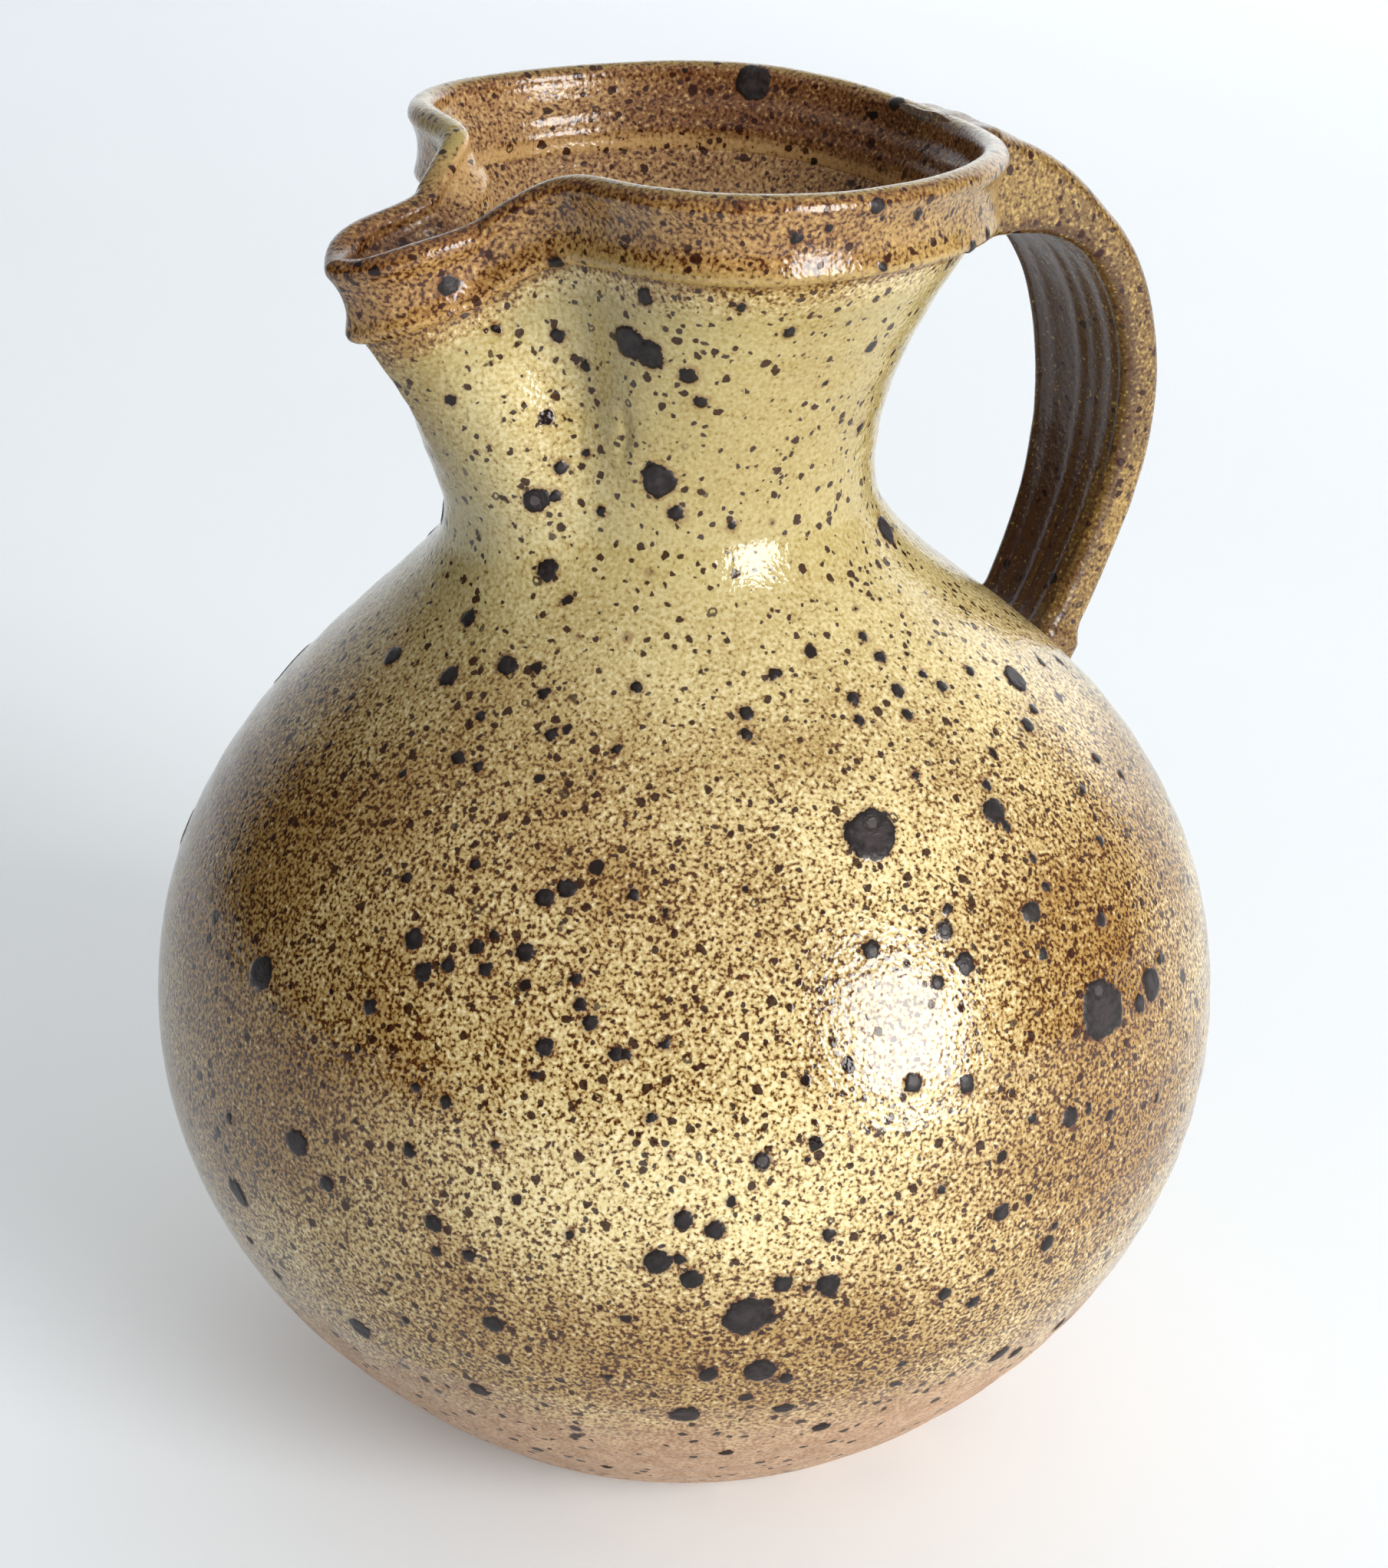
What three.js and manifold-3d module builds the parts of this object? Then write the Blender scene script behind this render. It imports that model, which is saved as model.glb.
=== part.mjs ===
// Stoneware pitcher: a thrown belly, a waisted neck with a pinched spout, a thick rim collar and a pulled
// strap handle, each formed apart and luted together with slip and pads of soft clay.
// Millimetres, +Z up. The flat underside lies on z = 0, the spout points to -X and the handle to +X.

import * as THREE from 'three';
import Module from 'manifold-3d';

const { smoothstep, lerp, degToRad, radToDeg, euclideanModulo } = THREE.MathUtils;

// Belly: radii are outside ones, and a pull is the length of a curve's tangent handle
const FOOT_RADIUS = 45;
const FOOT_ANGLE = 35; // degrees, how steeply the wall leaves the table
const FOOT_PULL = 35;
const BELLY_RADIUS = 90;
const BELLY_LEVEL = 73;
const BELLY_PULL_DOWN = 28;
const BELLY_PULL_UP = 57;
const FLOOR_THICKNESS = 8;
const WALL = 5;

// Neck: the waist is its narrowest place, and the flare is its upper edge
const SHOULDER_HEIGHT = 93; // widest belly to waist
const WAIST_RADIUS = 33.3;
const WAIST_PULL_DOWN = 20.5;
const WAIST_PULL_UP = 13;
const NECK_HEIGHT = 42; // waist to the collar's lower edge
const FLARE_RADIUS = 49.5;
const FLARE_ANGLE = 54; // degrees above level where the neck meets the collar
const FLARE_PULL = 13.5;

// Rim collar
const COLLAR_HEIGHT = 13;
const COLLAR_STEP = 2.6; // how far its lower edge stands out from the neck
const COLLAR_HOLLOW = 0.6; // shallow groove between the lower edge and the lip
const LIP_STEP = 3.4; // how far the lip stands out from the neck's upper edge
const LIP_THICKNESS = 4.6;

// Spout: widths and angles are degrees round the neck
const THROAT_ROOT = 26; // how far below the waist the throat starts
const THROAT_REACH = 6.5;
const THROAT_WIDTH = 27;
const BAND_REACH = 0.8; // how little is left of it at the collar's lower edge
const LIP_REACH = 5.5;
const LIP_WIDTH = 11;
const SPOUT_SQUARENESS = 2.8;
const SPOUT_DROP = 14; // how far the lip hangs below the rim
const DROP_WIDTH = 24;
const DROP_SQUARENESS = 1.6;
const DENT_ANGLE = 33; // a finger dent on each side of the throat
const DENT_SHARE = 0.95; // 1 presses the flare back to the waist's radius
const DENT_INNER_WIDTH = 30;
const DENT_OUTER_WIDTH = 27;
const NECK_LEAN = 6; // how far the neck is drawn towards the spout
const HANDLE_DIP = 2.5; // how far the rim sinks at the handle
const HANDLE_DIP_WIDTH = 38;

// Handle
const STRAP_WIDTH = 26;
const STRAP_THICKNESS = 8;
const ROOT_WIDTH = 28;
const ROOT_THICKNESS = 17;
const ROOT_BELOW_RIM = 1.2; // rim to the highest line of the strap's back
const ROOT_TAPER = 30; // length over which the root thins to the strap
const TAIL_WIDTH = 21; // width at the lower end
const TAIL_TAPER = 60;
const RIDGE_COUNT = 4; // lengthwise finger ridges under the strap
const RIDGE_DEPTH = 0.9;
const STRAP_CROWN = 0.8; // how far the strap's back is domed
const EDGE_ROUND = 2.6;
const HANDLE_FALL = 2; // degrees below level where the strap leaves the collar
const HANDLE_TOP_PULL = 25;
const HANDLE_BULGE = 13.5; // how far the strap swings out beyond its lower end
const HANDLE_UPPER_PULL = 27;
const HANDLE_LOWER_PULL = 18;
const HANDLE_FOOT_DROP = 41.5; // waist to the middle of the lower joint
const HANDLE_FOOT_ANGLE = 60; // degrees above level where the strap meets the shoulder
const HANDLE_FOOT_PULL = 10;
const HANDLE_EMBED = 6; // the sweep runs on into the wall before it is trimmed

// Joints
const CLEARANCE = 0.3;
const SLIP_THICKNESS = 1.2;
const LUTE_THICKNESS = 2.4;
const LUTE_LIP = 0.6; // how far a lute squeezes out round the strap

// Fineness of the surfaces
const SEGMENTS = 56;
const SPOUT_CROWDING = 0.5; // 0 spreads the segments evenly, towards 1 they gather at the spout
const LOWER_STEPS = 8;
const SHOULDER_STEPS = 10;
const FLARE_STEPS = 8;
const LIP_STEPS = 5;
const STRAP_STEPS = 26;
const RIDGE_STEPS = 5;
const EDGE_STEPS = 3;
const BACK_STEPS = 6;

// Levels worked out from the heights
const waistLevel = BELLY_LEVEL + SHOULDER_HEIGHT;
const collarLevel = waistLevel + NECK_HEIGHT;
const rimLevel = collarLevel + COLLAR_HEIGHT;
const midShoulder = (BELLY_LEVEL + waistLevel) / 2;
const midNeck = (waistLevel + collarLevel) / 2;
const midCollar = (collarLevel + rimLevel) / 2;
const throatRoot = waistLevel - THROAT_ROOT;
const throatTop = (waistLevel + midNeck) / 2;
const dentRoot = waistLevel - WALL;
const bellyTop = waistLevel - SLIP_THICKNESS / 2 - CLEARANCE;
const neckBottom = waistLevel + SLIP_THICKNESS / 2 + CLEARANCE;
const neckTop = collarLevel - SLIP_THICKNESS - 2 * CLEARANCE;
const lipCentre = LIP_STEP - LIP_THICKNESS / 2;

const wasm = await Module();
wasm.setup();

// A point of an outline: its radius and level before the spout shapes it, and an offset square to the plan
function station(radius, level, offset = 0) {
  return { radius, level, offset };
}

function fade(distance, width) {
  return Math.exp(-((distance / width) ** 2));
}

function degreesFromSpout(angle) {
  return radToDeg(Math.abs(euclideanModulo(angle, 2 * Math.PI) - Math.PI));
}

// Radius in plan once the throat is drawn out and the two dents beside it are pressed in
function planRadius(radius, level, angle) {
  const away = degreesFromSpout(angle);
  const lip = smoothstep(level, throatTop, midCollar);
  const width = lerp(THROAT_WIDTH, LIP_WIDTH, lip);
  const throat = lerp(THROAT_REACH, BAND_REACH, smoothstep(level, throatTop, collarLevel));
  const tip = (LIP_REACH - BAND_REACH) * smoothstep(level, collarLevel, rimLevel);
  const reach = throat * smoothstep(level, throatRoot, throatTop) + tip;
  const bump = Math.exp(-((away / width) ** SPOUT_SQUARENESS));
  const flare = Math.max(radius - WAIST_RADIUS, 0);
  const depth = DENT_SHARE * flare * smoothstep(level, dentRoot, midNeck);
  const dentWidth = away < DENT_ANGLE ? DENT_INNER_WIDTH : DENT_OUTER_WIDTH;
  const dent = depth * fade(away - DENT_ANGLE, dentWidth);
  const refill = depth * fade(DENT_ANGLE, DENT_INNER_WIDTH);
  return radius - dent + (reach + refill) * bump;
}

// Level once the lip hangs down at the spout and the rim sinks at the handle
function bentLevel(level, angle) {
  const away = degreesFromSpout(angle);
  const drop = SPOUT_DROP * Math.exp(-((away / DROP_WIDTH) ** DROP_SQUARENESS));
  const dip = HANDLE_DIP * fade(180 - away, HANDLE_DIP_WIDTH);
  const hanging = drop * smoothstep(level, waistLevel, collarLevel);
  const sinking = dip * smoothstep(level, midNeck, rimLevel);
  return level - hanging - sinking;
}

function place({ radius, level, offset }, angle) {
  const tiny = 1e-4;
  const here = planRadius(radius, level, angle);
  const rise = planRadius(radius, level, angle + tiny) - planRadius(radius, level, angle - tiny);
  const slope = rise / (2 * tiny);
  const cos = Math.cos(angle);
  const sin = Math.sin(angle);
  const out = new THREE.Vector2(here * cos + slope * sin, here * sin - slope * cos).normalize();
  const lean = NECK_LEAN * smoothstep(level, midShoulder, midNeck);
  return new THREE.Vector3(
    here * cos + offset * out.x - lean,
    here * sin + offset * out.y,
    bentLevel(level, angle),
  );
}

// Angles round the pot, crowded towards the spout
const angles = Array.from({ length: SEGMENTS }, (_, index) => {
  const turn = (2 * Math.PI * index) / SEGMENTS;
  return turn + SPOUT_CROWDING * Math.sin(turn);
});

// Joins rows of points into one closed surface; a row of one point is a pole on the axis.
// Each quad is split along its shorter diagonal, so that two faces that lie against each other crease alike.
function skin(rows, loops) {
  const points = rows.flat();
  const starts = [];
  rows.reduce((count, row, index) => {
    starts[index] = count;
    return count + row.length;
  }, 0);
  const vertex = (row, column) => starts[row] + (column % rows[row].length);
  const indices = [];
  const strips = loops ? rows.length : rows.length - 1;
  for (let row = 0; row < strips; row += 1) {
    const next = (row + 1) % rows.length;
    const columns = Math.max(rows[row].length, rows[next].length);
    for (let column = 0; column < columns; column += 1) {
      const [a, b] = [vertex(row, column), vertex(row, column + 1)];
      const [d, c] = [vertex(next, column), vertex(next, column + 1)];
      const shorter = points[a].distanceTo(points[c]) <= points[b].distanceTo(points[d]);
      if (a === b) indices.push(a, c, d);
      else if (c === d) indices.push(a, b, c);
      else if (shorter) indices.push(a, b, c, a, c, d);
      else indices.push(a, b, d, b, c, d);
    }
  }
  const geometry = new THREE.BufferGeometry().setFromPoints(points);
  geometry.setIndex(indices);
  return geometry;
}

// Turns an outline round the axis; an outline that starts and ends on the axis is capped by poles
function turned(stations) {
  const onAxis = stations[0].radius === 0;
  const rows = stations.map((point) => {
    if (point.radius === 0) return [new THREE.Vector3(0, 0, point.level)];
    return angles.map((angle) => place(point, angle));
  });
  return skin(rows, !onAxis);
}

function solid(geometry) {
  const vertProperties = new Float32Array(geometry.getAttribute('position').array);
  const triVerts = new Uint32Array(geometry.getIndex().array);
  return new wasm.Manifold(new wasm.Mesh({ numProp: 3, vertProperties, triVerts }));
}

function geometryOf(manifold) {
  const { vertProperties, triVerts } = manifold.getMesh();
  const geometry = new THREE.BufferGeometry();
  geometry.setAttribute('position', new THREE.BufferAttribute(vertProperties, 3));
  geometry.setIndex(new THREE.BufferAttribute(triVerts, 1));
  return geometry;
}

// The three curves of the outside, from the table to the collar
const polar = (length, degrees) =>
  new THREE.Vector2(Math.cos(degToRad(degrees)), Math.sin(degToRad(degrees))).multiplyScalar(length);
const footPoint = new THREE.Vector2(FOOT_RADIUS, 0);
const widestPoint = new THREE.Vector2(BELLY_RADIUS, BELLY_LEVEL);
const shoulderEnd = new THREE.Vector2(WAIST_RADIUS, bellyTop);
const neckStart = new THREE.Vector2(WAIST_RADIUS, neckBottom);
const flarePoint = new THREE.Vector2(FLARE_RADIUS, neckTop);
const lowerCurve = new THREE.CubicBezierCurve(
  footPoint,
  footPoint.clone().add(polar(FOOT_PULL, FOOT_ANGLE)),
  new THREE.Vector2(BELLY_RADIUS, BELLY_LEVEL - BELLY_PULL_DOWN),
  widestPoint,
);
const shoulderCurve = new THREE.CubicBezierCurve(
  widestPoint,
  new THREE.Vector2(BELLY_RADIUS, BELLY_LEVEL + BELLY_PULL_UP),
  new THREE.Vector2(WAIST_RADIUS, bellyTop - WAIST_PULL_DOWN),
  shoulderEnd,
);
const flareCurve = new THREE.CubicBezierCurve(
  neckStart,
  new THREE.Vector2(WAIST_RADIUS, neckBottom + WAIST_PULL_UP),
  flarePoint.clone().sub(polar(FLARE_PULL, FLARE_ANGLE)),
  flarePoint,
);

// Points of a curve moved square to it: outwards by a positive distance, inwards by a negative one
function offsetPoints(curve, steps, distance) {
  return Array.from({ length: steps + 1 }, (_, index) => {
    const share = index / steps;
    const tangent = curve.getTangent(share);
    const outward = new THREE.Vector2(tangent.y, -tangent.x);
    return curve.getPoint(share).addScaledVector(outward, distance);
  });
}

function shellOutline(distance) {
  const lower = offsetPoints(lowerCurve, LOWER_STEPS, distance);
  const shoulder = offsetPoints(shoulderCurve, SHOULDER_STEPS, distance);
  return [...lower, ...shoulder.slice(1)];
}

const toStation = (point) => station(point.x, point.y);

function belly() {
  const outside = shellOutline(0);
  const inside = shellOutline(-WALL);
  const firstAbove = inside.findIndex((point) => point.y > FLOOR_THICKNESS);
  const [below, above] = [inside[firstAbove - 1], inside[firstAbove]];
  const share = (FLOOR_THICKNESS - below.y) / (above.y - below.y);
  const floorCorner = below.clone().lerp(above, share);
  return turned([
    station(0, 0),
    ...outside.map(toStation),
    ...inside.slice(firstAbove).reverse().map(toStation),
    toStation(floorCorner),
    station(0, FLOOR_THICKNESS),
  ]);
}

function neck() {
  const outside = offsetPoints(flareCurve, FLARE_STEPS, 0);
  const inside = outside.map((point) => station(point.x, point.y, -WALL)).reverse();
  return turned([...outside.map(toStation), ...inside]);
}

// Outline of the collar from its lower edge over the round lip to its inner edge, as offsets from the flare
function collarOutline(growth) {
  const ring = (offset, level) => station(FLARE_RADIUS, level, offset);
  const lipRadius = LIP_THICKNESS / 2 + growth;
  const lip = Array.from({ length: LIP_STEPS + 1 }, (_, index) => {
    const turn = polar(lipRadius, (180 * index) / LIP_STEPS);
    return ring(lipCentre + turn.x, rimLevel - LIP_THICKNESS / 2 + turn.y);
  });
  const groove = (COLLAR_STEP + LIP_STEP) / 2 - COLLAR_HOLLOW + growth;
  return [ring(COLLAR_STEP + growth, collarLevel - growth), ring(groove, midCollar), ...lip];
}

function rimCollar() {
  const seat = [station(FLARE_RADIUS, collarLevel, -WALL), station(FLARE_RADIUS, collarLevel)];
  return turned([...collarOutline(0), ...seat]);
}

// Ring of slip that fills a joint between two thrown pieces
function slipRing(radius, level) {
  const top = level + SLIP_THICKNESS;
  return turned([
    station(radius, level),
    station(radius, top),
    station(radius, top, -WALL),
    station(radius, level, -WALL),
  ]);
}

// The body's outside from the belly up, swollen by a distance and plugged from the lip's crest;
// it trims what joins the body
function bodyEnvelope(distance) {
  const collarUnderside = collarLevel - distance;
  const shoulder = offsetPoints(shoulderCurve, SHOULDER_STEPS, distance).map(toStation);
  const flare = offsetPoints(flareCurve, FLARE_STEPS, 0)
    .filter((point) => point.y < collarUnderside)
    .map((point) => station(point.x, point.y, distance));
  const corner = station(radiusAt(flareCurve, collarUnderside), collarUnderside, distance);
  const outline = [...shoulder, ...flare, corner];
  const collar = collarOutline(distance).filter((point) => point.offset > lipCentre);
  const crest = collar.at(-1);
  const plugTop = rimLevel + ROOT_THICKNESS;
  const plug = [station(crest.radius, plugTop, crest.offset), station(0, plugTop)];
  return solid(turned([station(0, BELLY_LEVEL), ...outline, ...collar, ...plug]));
}

// Handle: its middle line lies in the XZ plane, from inside the collar round to inside the shoulder
function handlePath() {
  const collarFace = place(station(FLARE_RADIUS, midCollar, COLLAR_STEP), 0);
  const rootTop = bentLevel(rimLevel, 0) - ROOT_BELOW_RIM - STRAP_CROWN;
  const rootPoint = new THREE.Vector2(collarFace.x, rootTop - ROOT_THICKNESS / 2);
  const rootStart = rootPoint.clone().sub(polar(HANDLE_EMBED, -HANDLE_FALL));
  const footLevel = waistLevel - HANDLE_FOOT_DROP;
  const foot = place(station(radiusAt(shoulderCurve, footLevel), footLevel), 0);
  const footMiddle = new THREE.Vector2(foot.x, foot.z);
  const reach = foot.x + HANDLE_BULGE;
  const bulgeLevel = (rootPoint.y + footMiddle.y) / 2;
  const bulgePoint = new THREE.Vector2(reach, bulgeLevel);
  const path = new THREE.CurvePath();
  path.add(
    new THREE.CubicBezierCurve(
      rootStart,
      rootStart.clone().add(polar(HANDLE_TOP_PULL, -HANDLE_FALL)),
      new THREE.Vector2(reach, bulgeLevel + HANDLE_UPPER_PULL),
      bulgePoint,
    ),
  );
  path.add(
    new THREE.CubicBezierCurve(
      bulgePoint,
      new THREE.Vector2(reach, bulgeLevel - HANDLE_LOWER_PULL),
      footMiddle.clone().add(polar(HANDLE_FOOT_PULL, HANDLE_FOOT_ANGLE)),
      footMiddle.clone().sub(polar(HANDLE_EMBED, HANDLE_FOOT_ANGLE)),
    ),
  );
  return path;
}

// Radius at a level of a curve that only climbs, by halving it
function radiusAt(curve, level) {
  let [low, high] = [0, 1];
  for (let round = 0; round < 30; round += 1) {
    const middle = (low + high) / 2;
    if (curve.getPoint(middle).y < level) low = middle;
    else high = middle;
  }
  return curve.getPoint(low).x;
}

// Section of the strap: x across it and y towards its back, with finger ridges on the inner side
function strapSection(width, thickness) {
  const [halfWidth, halfThickness] = [width / 2, thickness / 2];
  const round = Math.min(EDGE_ROUND, halfThickness);
  const flat = halfWidth - round;
  const points = [];
  const innerSteps = RIDGE_COUNT * RIDGE_STEPS;
  for (let index = 0; index <= innerSteps; index += 1) {
    const share = index / innerSteps;
    const ridge = (RIDGE_DEPTH * (1 - Math.cos(2 * Math.PI * RIDGE_COUNT * share))) / 2;
    points.push(new THREE.Vector2(lerp(-flat, flat, share), -halfThickness + ridge));
  }
  const corner = (side, height, from) => {
    for (let index = 1; index < EDGE_STEPS; index += 1) {
      const turn = polar(round, from + (90 * index) / EDGE_STEPS);
      points.push(new THREE.Vector2(side * flat + turn.x, height * (halfThickness - round) + turn.y));
    }
  };
  corner(1, -1, 270);
  points.push(new THREE.Vector2(halfWidth, round - halfThickness));
  points.push(new THREE.Vector2(halfWidth, halfThickness - round));
  corner(1, 1, 0);
  for (let index = 0; index <= BACK_STEPS; index += 1) {
    const share = index / BACK_STEPS;
    const crown = STRAP_CROWN * Math.sin(Math.PI * share);
    points.push(new THREE.Vector2(lerp(flat, -flat, share), halfThickness + crown));
  }
  corner(-1, 1, 90);
  points.push(new THREE.Vector2(-halfWidth, halfThickness - round));
  points.push(new THREE.Vector2(-halfWidth, round - halfThickness));
  corner(-1, -1, 180);
  return points;
}

// Sweeps the strap along a stretch of the path, swollen all round by a growth
function strapSweep(from, to, growth) {
  const path = handlePath();
  const length = path.getLength();
  const rows = [];
  for (let index = 0; index <= STRAP_STEPS; index += 1) {
    const share = lerp(from, to, index / STRAP_STEPS);
    const fromRoot = share * length - HANDLE_EMBED;
    const fromTail = (1 - share) * length - HANDLE_EMBED;
    const root = 1 - smoothstep(fromRoot, 0, ROOT_TAPER);
    const tail = 1 - smoothstep(fromTail, 0, TAIL_TAPER);
    const width = STRAP_WIDTH + (ROOT_WIDTH - STRAP_WIDTH) * root + (TAIL_WIDTH - STRAP_WIDTH) * tail;
    const thickness = lerp(STRAP_THICKNESS, ROOT_THICKNESS, root);
    const middle = path.getPointAt(share);
    const tangent = path.getTangentAt(share);
    const back = new THREE.Vector2(-tangent.y, tangent.x);
    rows.push(
      strapSection(width + 2 * growth, thickness + 2 * growth).map((point) => {
        const spot = middle.clone().addScaledVector(back, point.y);
        return new THREE.Vector3(spot.x, point.x, spot.y);
      }),
    );
  }
  return solid(skin(capped(rows), false));
}

// Closes the ends of a sweep with a point in the middle of its first and last row
function capped(rows) {
  const middle = (row) => {
    const centre = new THREE.Vector3();
    row.forEach((point) => centre.add(point));
    return centre.divideScalar(row.length);
  };
  return [[middle(rows[0])], ...rows, [middle(rows.at(-1))]];
}

const luteOuter = CLEARANCE + LUTE_THICKNESS;

function handle() {
  return geometryOf(strapSweep(0, 1, 0).subtract(bodyEnvelope(luteOuter + CLEARANCE)));
}

// Pad of clay between the body and one end of the strap
function handleLute(from, to) {
  const layer = bodyEnvelope(luteOuter).subtract(bodyEnvelope(CLEARANCE));
  return geometryOf(strapSweep(from, to, LUTE_LIP).intersect(layer));
}

function clay(color, roughness) {
  return new THREE.MeshStandardMaterial({ color, roughness, metalness: 0 });
}

function piece(name, geometry, material) {
  const mesh = new THREE.Mesh(geometry, material);
  mesh.name = name;
  return mesh;
}

const pitcher = new THREE.Group();
pitcher.add(
  piece('belly', belly(), clay('#b4965a', 0.3)),
  piece('neck', neck(), clay('#c3a868', 0.28)),
  piece('rim_collar', rimCollar(), clay('#9a7340', 0.3)),
  piece('handle', handle(), clay('#8d6a3c', 0.34)),
  piece('handle_upper_lute', handleLute(0, 1 / 3), clay('#a17c48', 0.36)),
  piece('handle_lower_lute', handleLute(2 / 3, 1), clay('#a8854f', 0.36)),
  piece('neck_slip', slipRing(WAIST_RADIUS, waistLevel - SLIP_THICKNESS / 2), clay('#b59b70', 0.6)),
  piece('rim_slip', slipRing(FLARE_RADIUS, neckTop + CLEARANCE), clay('#b0925f', 0.6)),
);

export default pitcher;
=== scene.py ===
# Stoneware pitcher, dressed: thrown belly and neck, banded rim with a pinched spout, pulled strap handle,
# ochre salt glaze with iron specks and raised iron blotches.
# Shapes are in millimetres until a mesh is made.

import math

import bpy
import numpy as np
from mathutils import Matrix, Vector


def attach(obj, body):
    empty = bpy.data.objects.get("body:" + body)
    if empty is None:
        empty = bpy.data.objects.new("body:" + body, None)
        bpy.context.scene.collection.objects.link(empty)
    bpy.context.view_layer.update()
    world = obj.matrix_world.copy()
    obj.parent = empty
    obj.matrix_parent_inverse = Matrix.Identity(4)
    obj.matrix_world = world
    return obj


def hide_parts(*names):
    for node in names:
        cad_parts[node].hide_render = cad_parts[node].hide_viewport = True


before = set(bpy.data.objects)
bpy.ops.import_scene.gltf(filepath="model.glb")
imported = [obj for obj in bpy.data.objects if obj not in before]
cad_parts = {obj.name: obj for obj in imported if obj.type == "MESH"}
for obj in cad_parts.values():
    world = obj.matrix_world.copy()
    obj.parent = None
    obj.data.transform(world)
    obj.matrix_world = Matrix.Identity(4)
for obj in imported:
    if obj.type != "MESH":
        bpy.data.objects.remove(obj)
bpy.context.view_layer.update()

MM = 0.001

# Belly, outside sizes
FOOT_RADIUS = 45.0
FOOT_ANGLE = 35.0
FOOT_PULL = 35.0
FOOT_ROUND = 1.6
BELLY_RADIUS = 90.0
BELLY_LEVEL = 73.0
BELLY_PULL_DOWN = 28.0
BELLY_PULL_UP = 57.0
FLOOR_THICKNESS = 8.0
WALL = 5.0

# Neck
SHOULDER_HEIGHT = 93.0
WAIST_RADIUS = 33.3
WAIST_PULL_DOWN = 20.5
WAIST_PULL_UP = 13.0
NECK_HEIGHT = 42.0
FLARE_RADIUS = 49.5
FLARE_ANGLE = 54.0
FLARE_PULL = 13.5

# Rim collar
COLLAR_HEIGHT = 13.0
COLLAR_STEP = 2.6
COLLAR_HOLLOW = 0.9
COLLAR_ROUND = 1.3
LIP_STEP = 3.4
LIP_THICKNESS = 4.6

# Spout, in degrees round the neck where a name says width or angle
THROAT_ROOT = 26.0
THROAT_REACH = 6.5
THROAT_WIDTH = 27.0
BAND_REACH = 3.2
LIP_REACH = 5.5
LIP_WIDTH = 11.5
THROAT_SQUARENESS = 2.8
LIP_SQUARENESS = 5.4
SPOUT_DROP = 14.0
DROP_WIDTH = 19.2
DROP_SQUARENESS = 1.8
DENT_ANGLE = 33.0
DENT_SHARE = 0.95
FAR_DENT_SHARE = 1.12
DENT_INNER_WIDTH = 30.0
DENT_OUTER_WIDTH = 27.0
NECK_LEAN = 6.0
HANDLE_DIP = 2.5
HANDLE_DIP_WIDTH = 38.0
BACK_LIFT = 2.0
BACK_LIFT_ANGLE = 35.0
BACK_LIFT_WIDTH = 38.0

# Handle
STRAP_WIDTH = 27.4
STRAP_THICKNESS = 8.0
ROOT_WIDTH = 28.0
ROOT_THICKNESS = 17.0
ROOT_BELOW_RIM = 1.2
ROOT_TAPER = 30.0
TAIL_WIDTH = 21.0
TAIL_TAPER = 60.0
RIDGES = ((-0.84, 0.9), (-0.42, 0.6), (-0.08, 1.0), (0.62, 0.5))
RIDGE_WIDTH = 0.14
RIDGE_DEPTH = 0.4
STRAP_CROWN = 0.8
EDGE_ROUND = 2.6
HANDLE_FALL = 2.0
HANDLE_TOP_PULL = 25.0
HANDLE_BULGE = 13.5
HANDLE_UPPER_PULL = 27.0
HANDLE_LOWER_PULL = 18.0
HANDLE_FOOT_DROP = 41.5
HANDLE_FOOT_ANGLE = 60.0
HANDLE_FOOT_PULL = 10.0
HANDLE_EMBED = 4.0

# Marks of the making
RING_PITCH = 7.0
RING_HEIGHT = 0.07
INNER_RING_PITCH = 3.1
INNER_RING_HEIGHT = 0.12
LEDGE_LEVEL = 203.0
LEDGE_DEPTH = 0.35
UNEVENNESS = 0.35
BLISTER_HEIGHT = 0.24
BAND_BLISTER_HEIGHT = 0.25

# Reach of an iron blotch past its edge, and the margin searched round it
BLOTCH_RANGE = 6.0
BLOTCH_MARGIN = 7.0

# Where the glaze changes, and where shade and light are painted on the spout's flanks: angles and widths in
# degrees round the neck, and levels
FAR_FLANK = 155.0
FAR_FLANK_WIDTH = 17.0
NEAR_FLANK = 205.0
NEAR_FLANK_WIDTH = 16.0
PALE_LIP = 143.0
PALE_LIP_WIDTH = 20.0
WARM_BAND = 290.0
WARM_BAND_WIDTH = 45.0
CLEAR_START = 122.0
CLEAR_FULL = 168.0

# Glaze: size of its crumbs in millimetres; relief and the bare foot's levels in metres
CRUMB_SIZE = 0.64
GLAZE_INDEX = 1.56
RELIEF_STRENGTH = 0.75
RELIEF_DEPTH = 0.00016
BARE_LEVEL = 0.027
GLAZED_LEVEL = 0.045

# Fineness of the meshes
SEGMENTS = 1100
CROWDING = 0.3
OUTER_STEP = 0.6
INNER_STEP = 2.0
STRAP_STEP = 0.6
POLE_RING = 3.0

# Camera: the photograph's frame in pixels, and where it was taken from
FRAME_WIDTH = 1809.0
FRAME_HEIGHT = 2044.0
FOCAL_PIXELS = 4000.0
CAMERA_DISTANCE = 476.5
CAMERA_HEIGHT = 314.6
CAMERA_ASIDE = 1.08
CAMERA_PITCH = 23.27
CAMERA_ROLL = -1.0
CAMERA_TURN = 33.0

waist_level = BELLY_LEVEL + SHOULDER_HEIGHT
collar_level = waist_level + NECK_HEIGHT
rim_level = collar_level + COLLAR_HEIGHT
mid_shoulder = (BELLY_LEVEL + waist_level) / 2
mid_neck = (waist_level + collar_level) / 2
mid_collar = (collar_level + rim_level) / 2
throat_root = waist_level - THROAT_ROOT
throat_top = (waist_level + mid_neck) / 2
dent_root = waist_level - WALL


def smooth(value, low, high):
    share = np.clip((value - low) / (high - low), 0, 1)
    return share * share * (3 - 2 * share)


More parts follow.
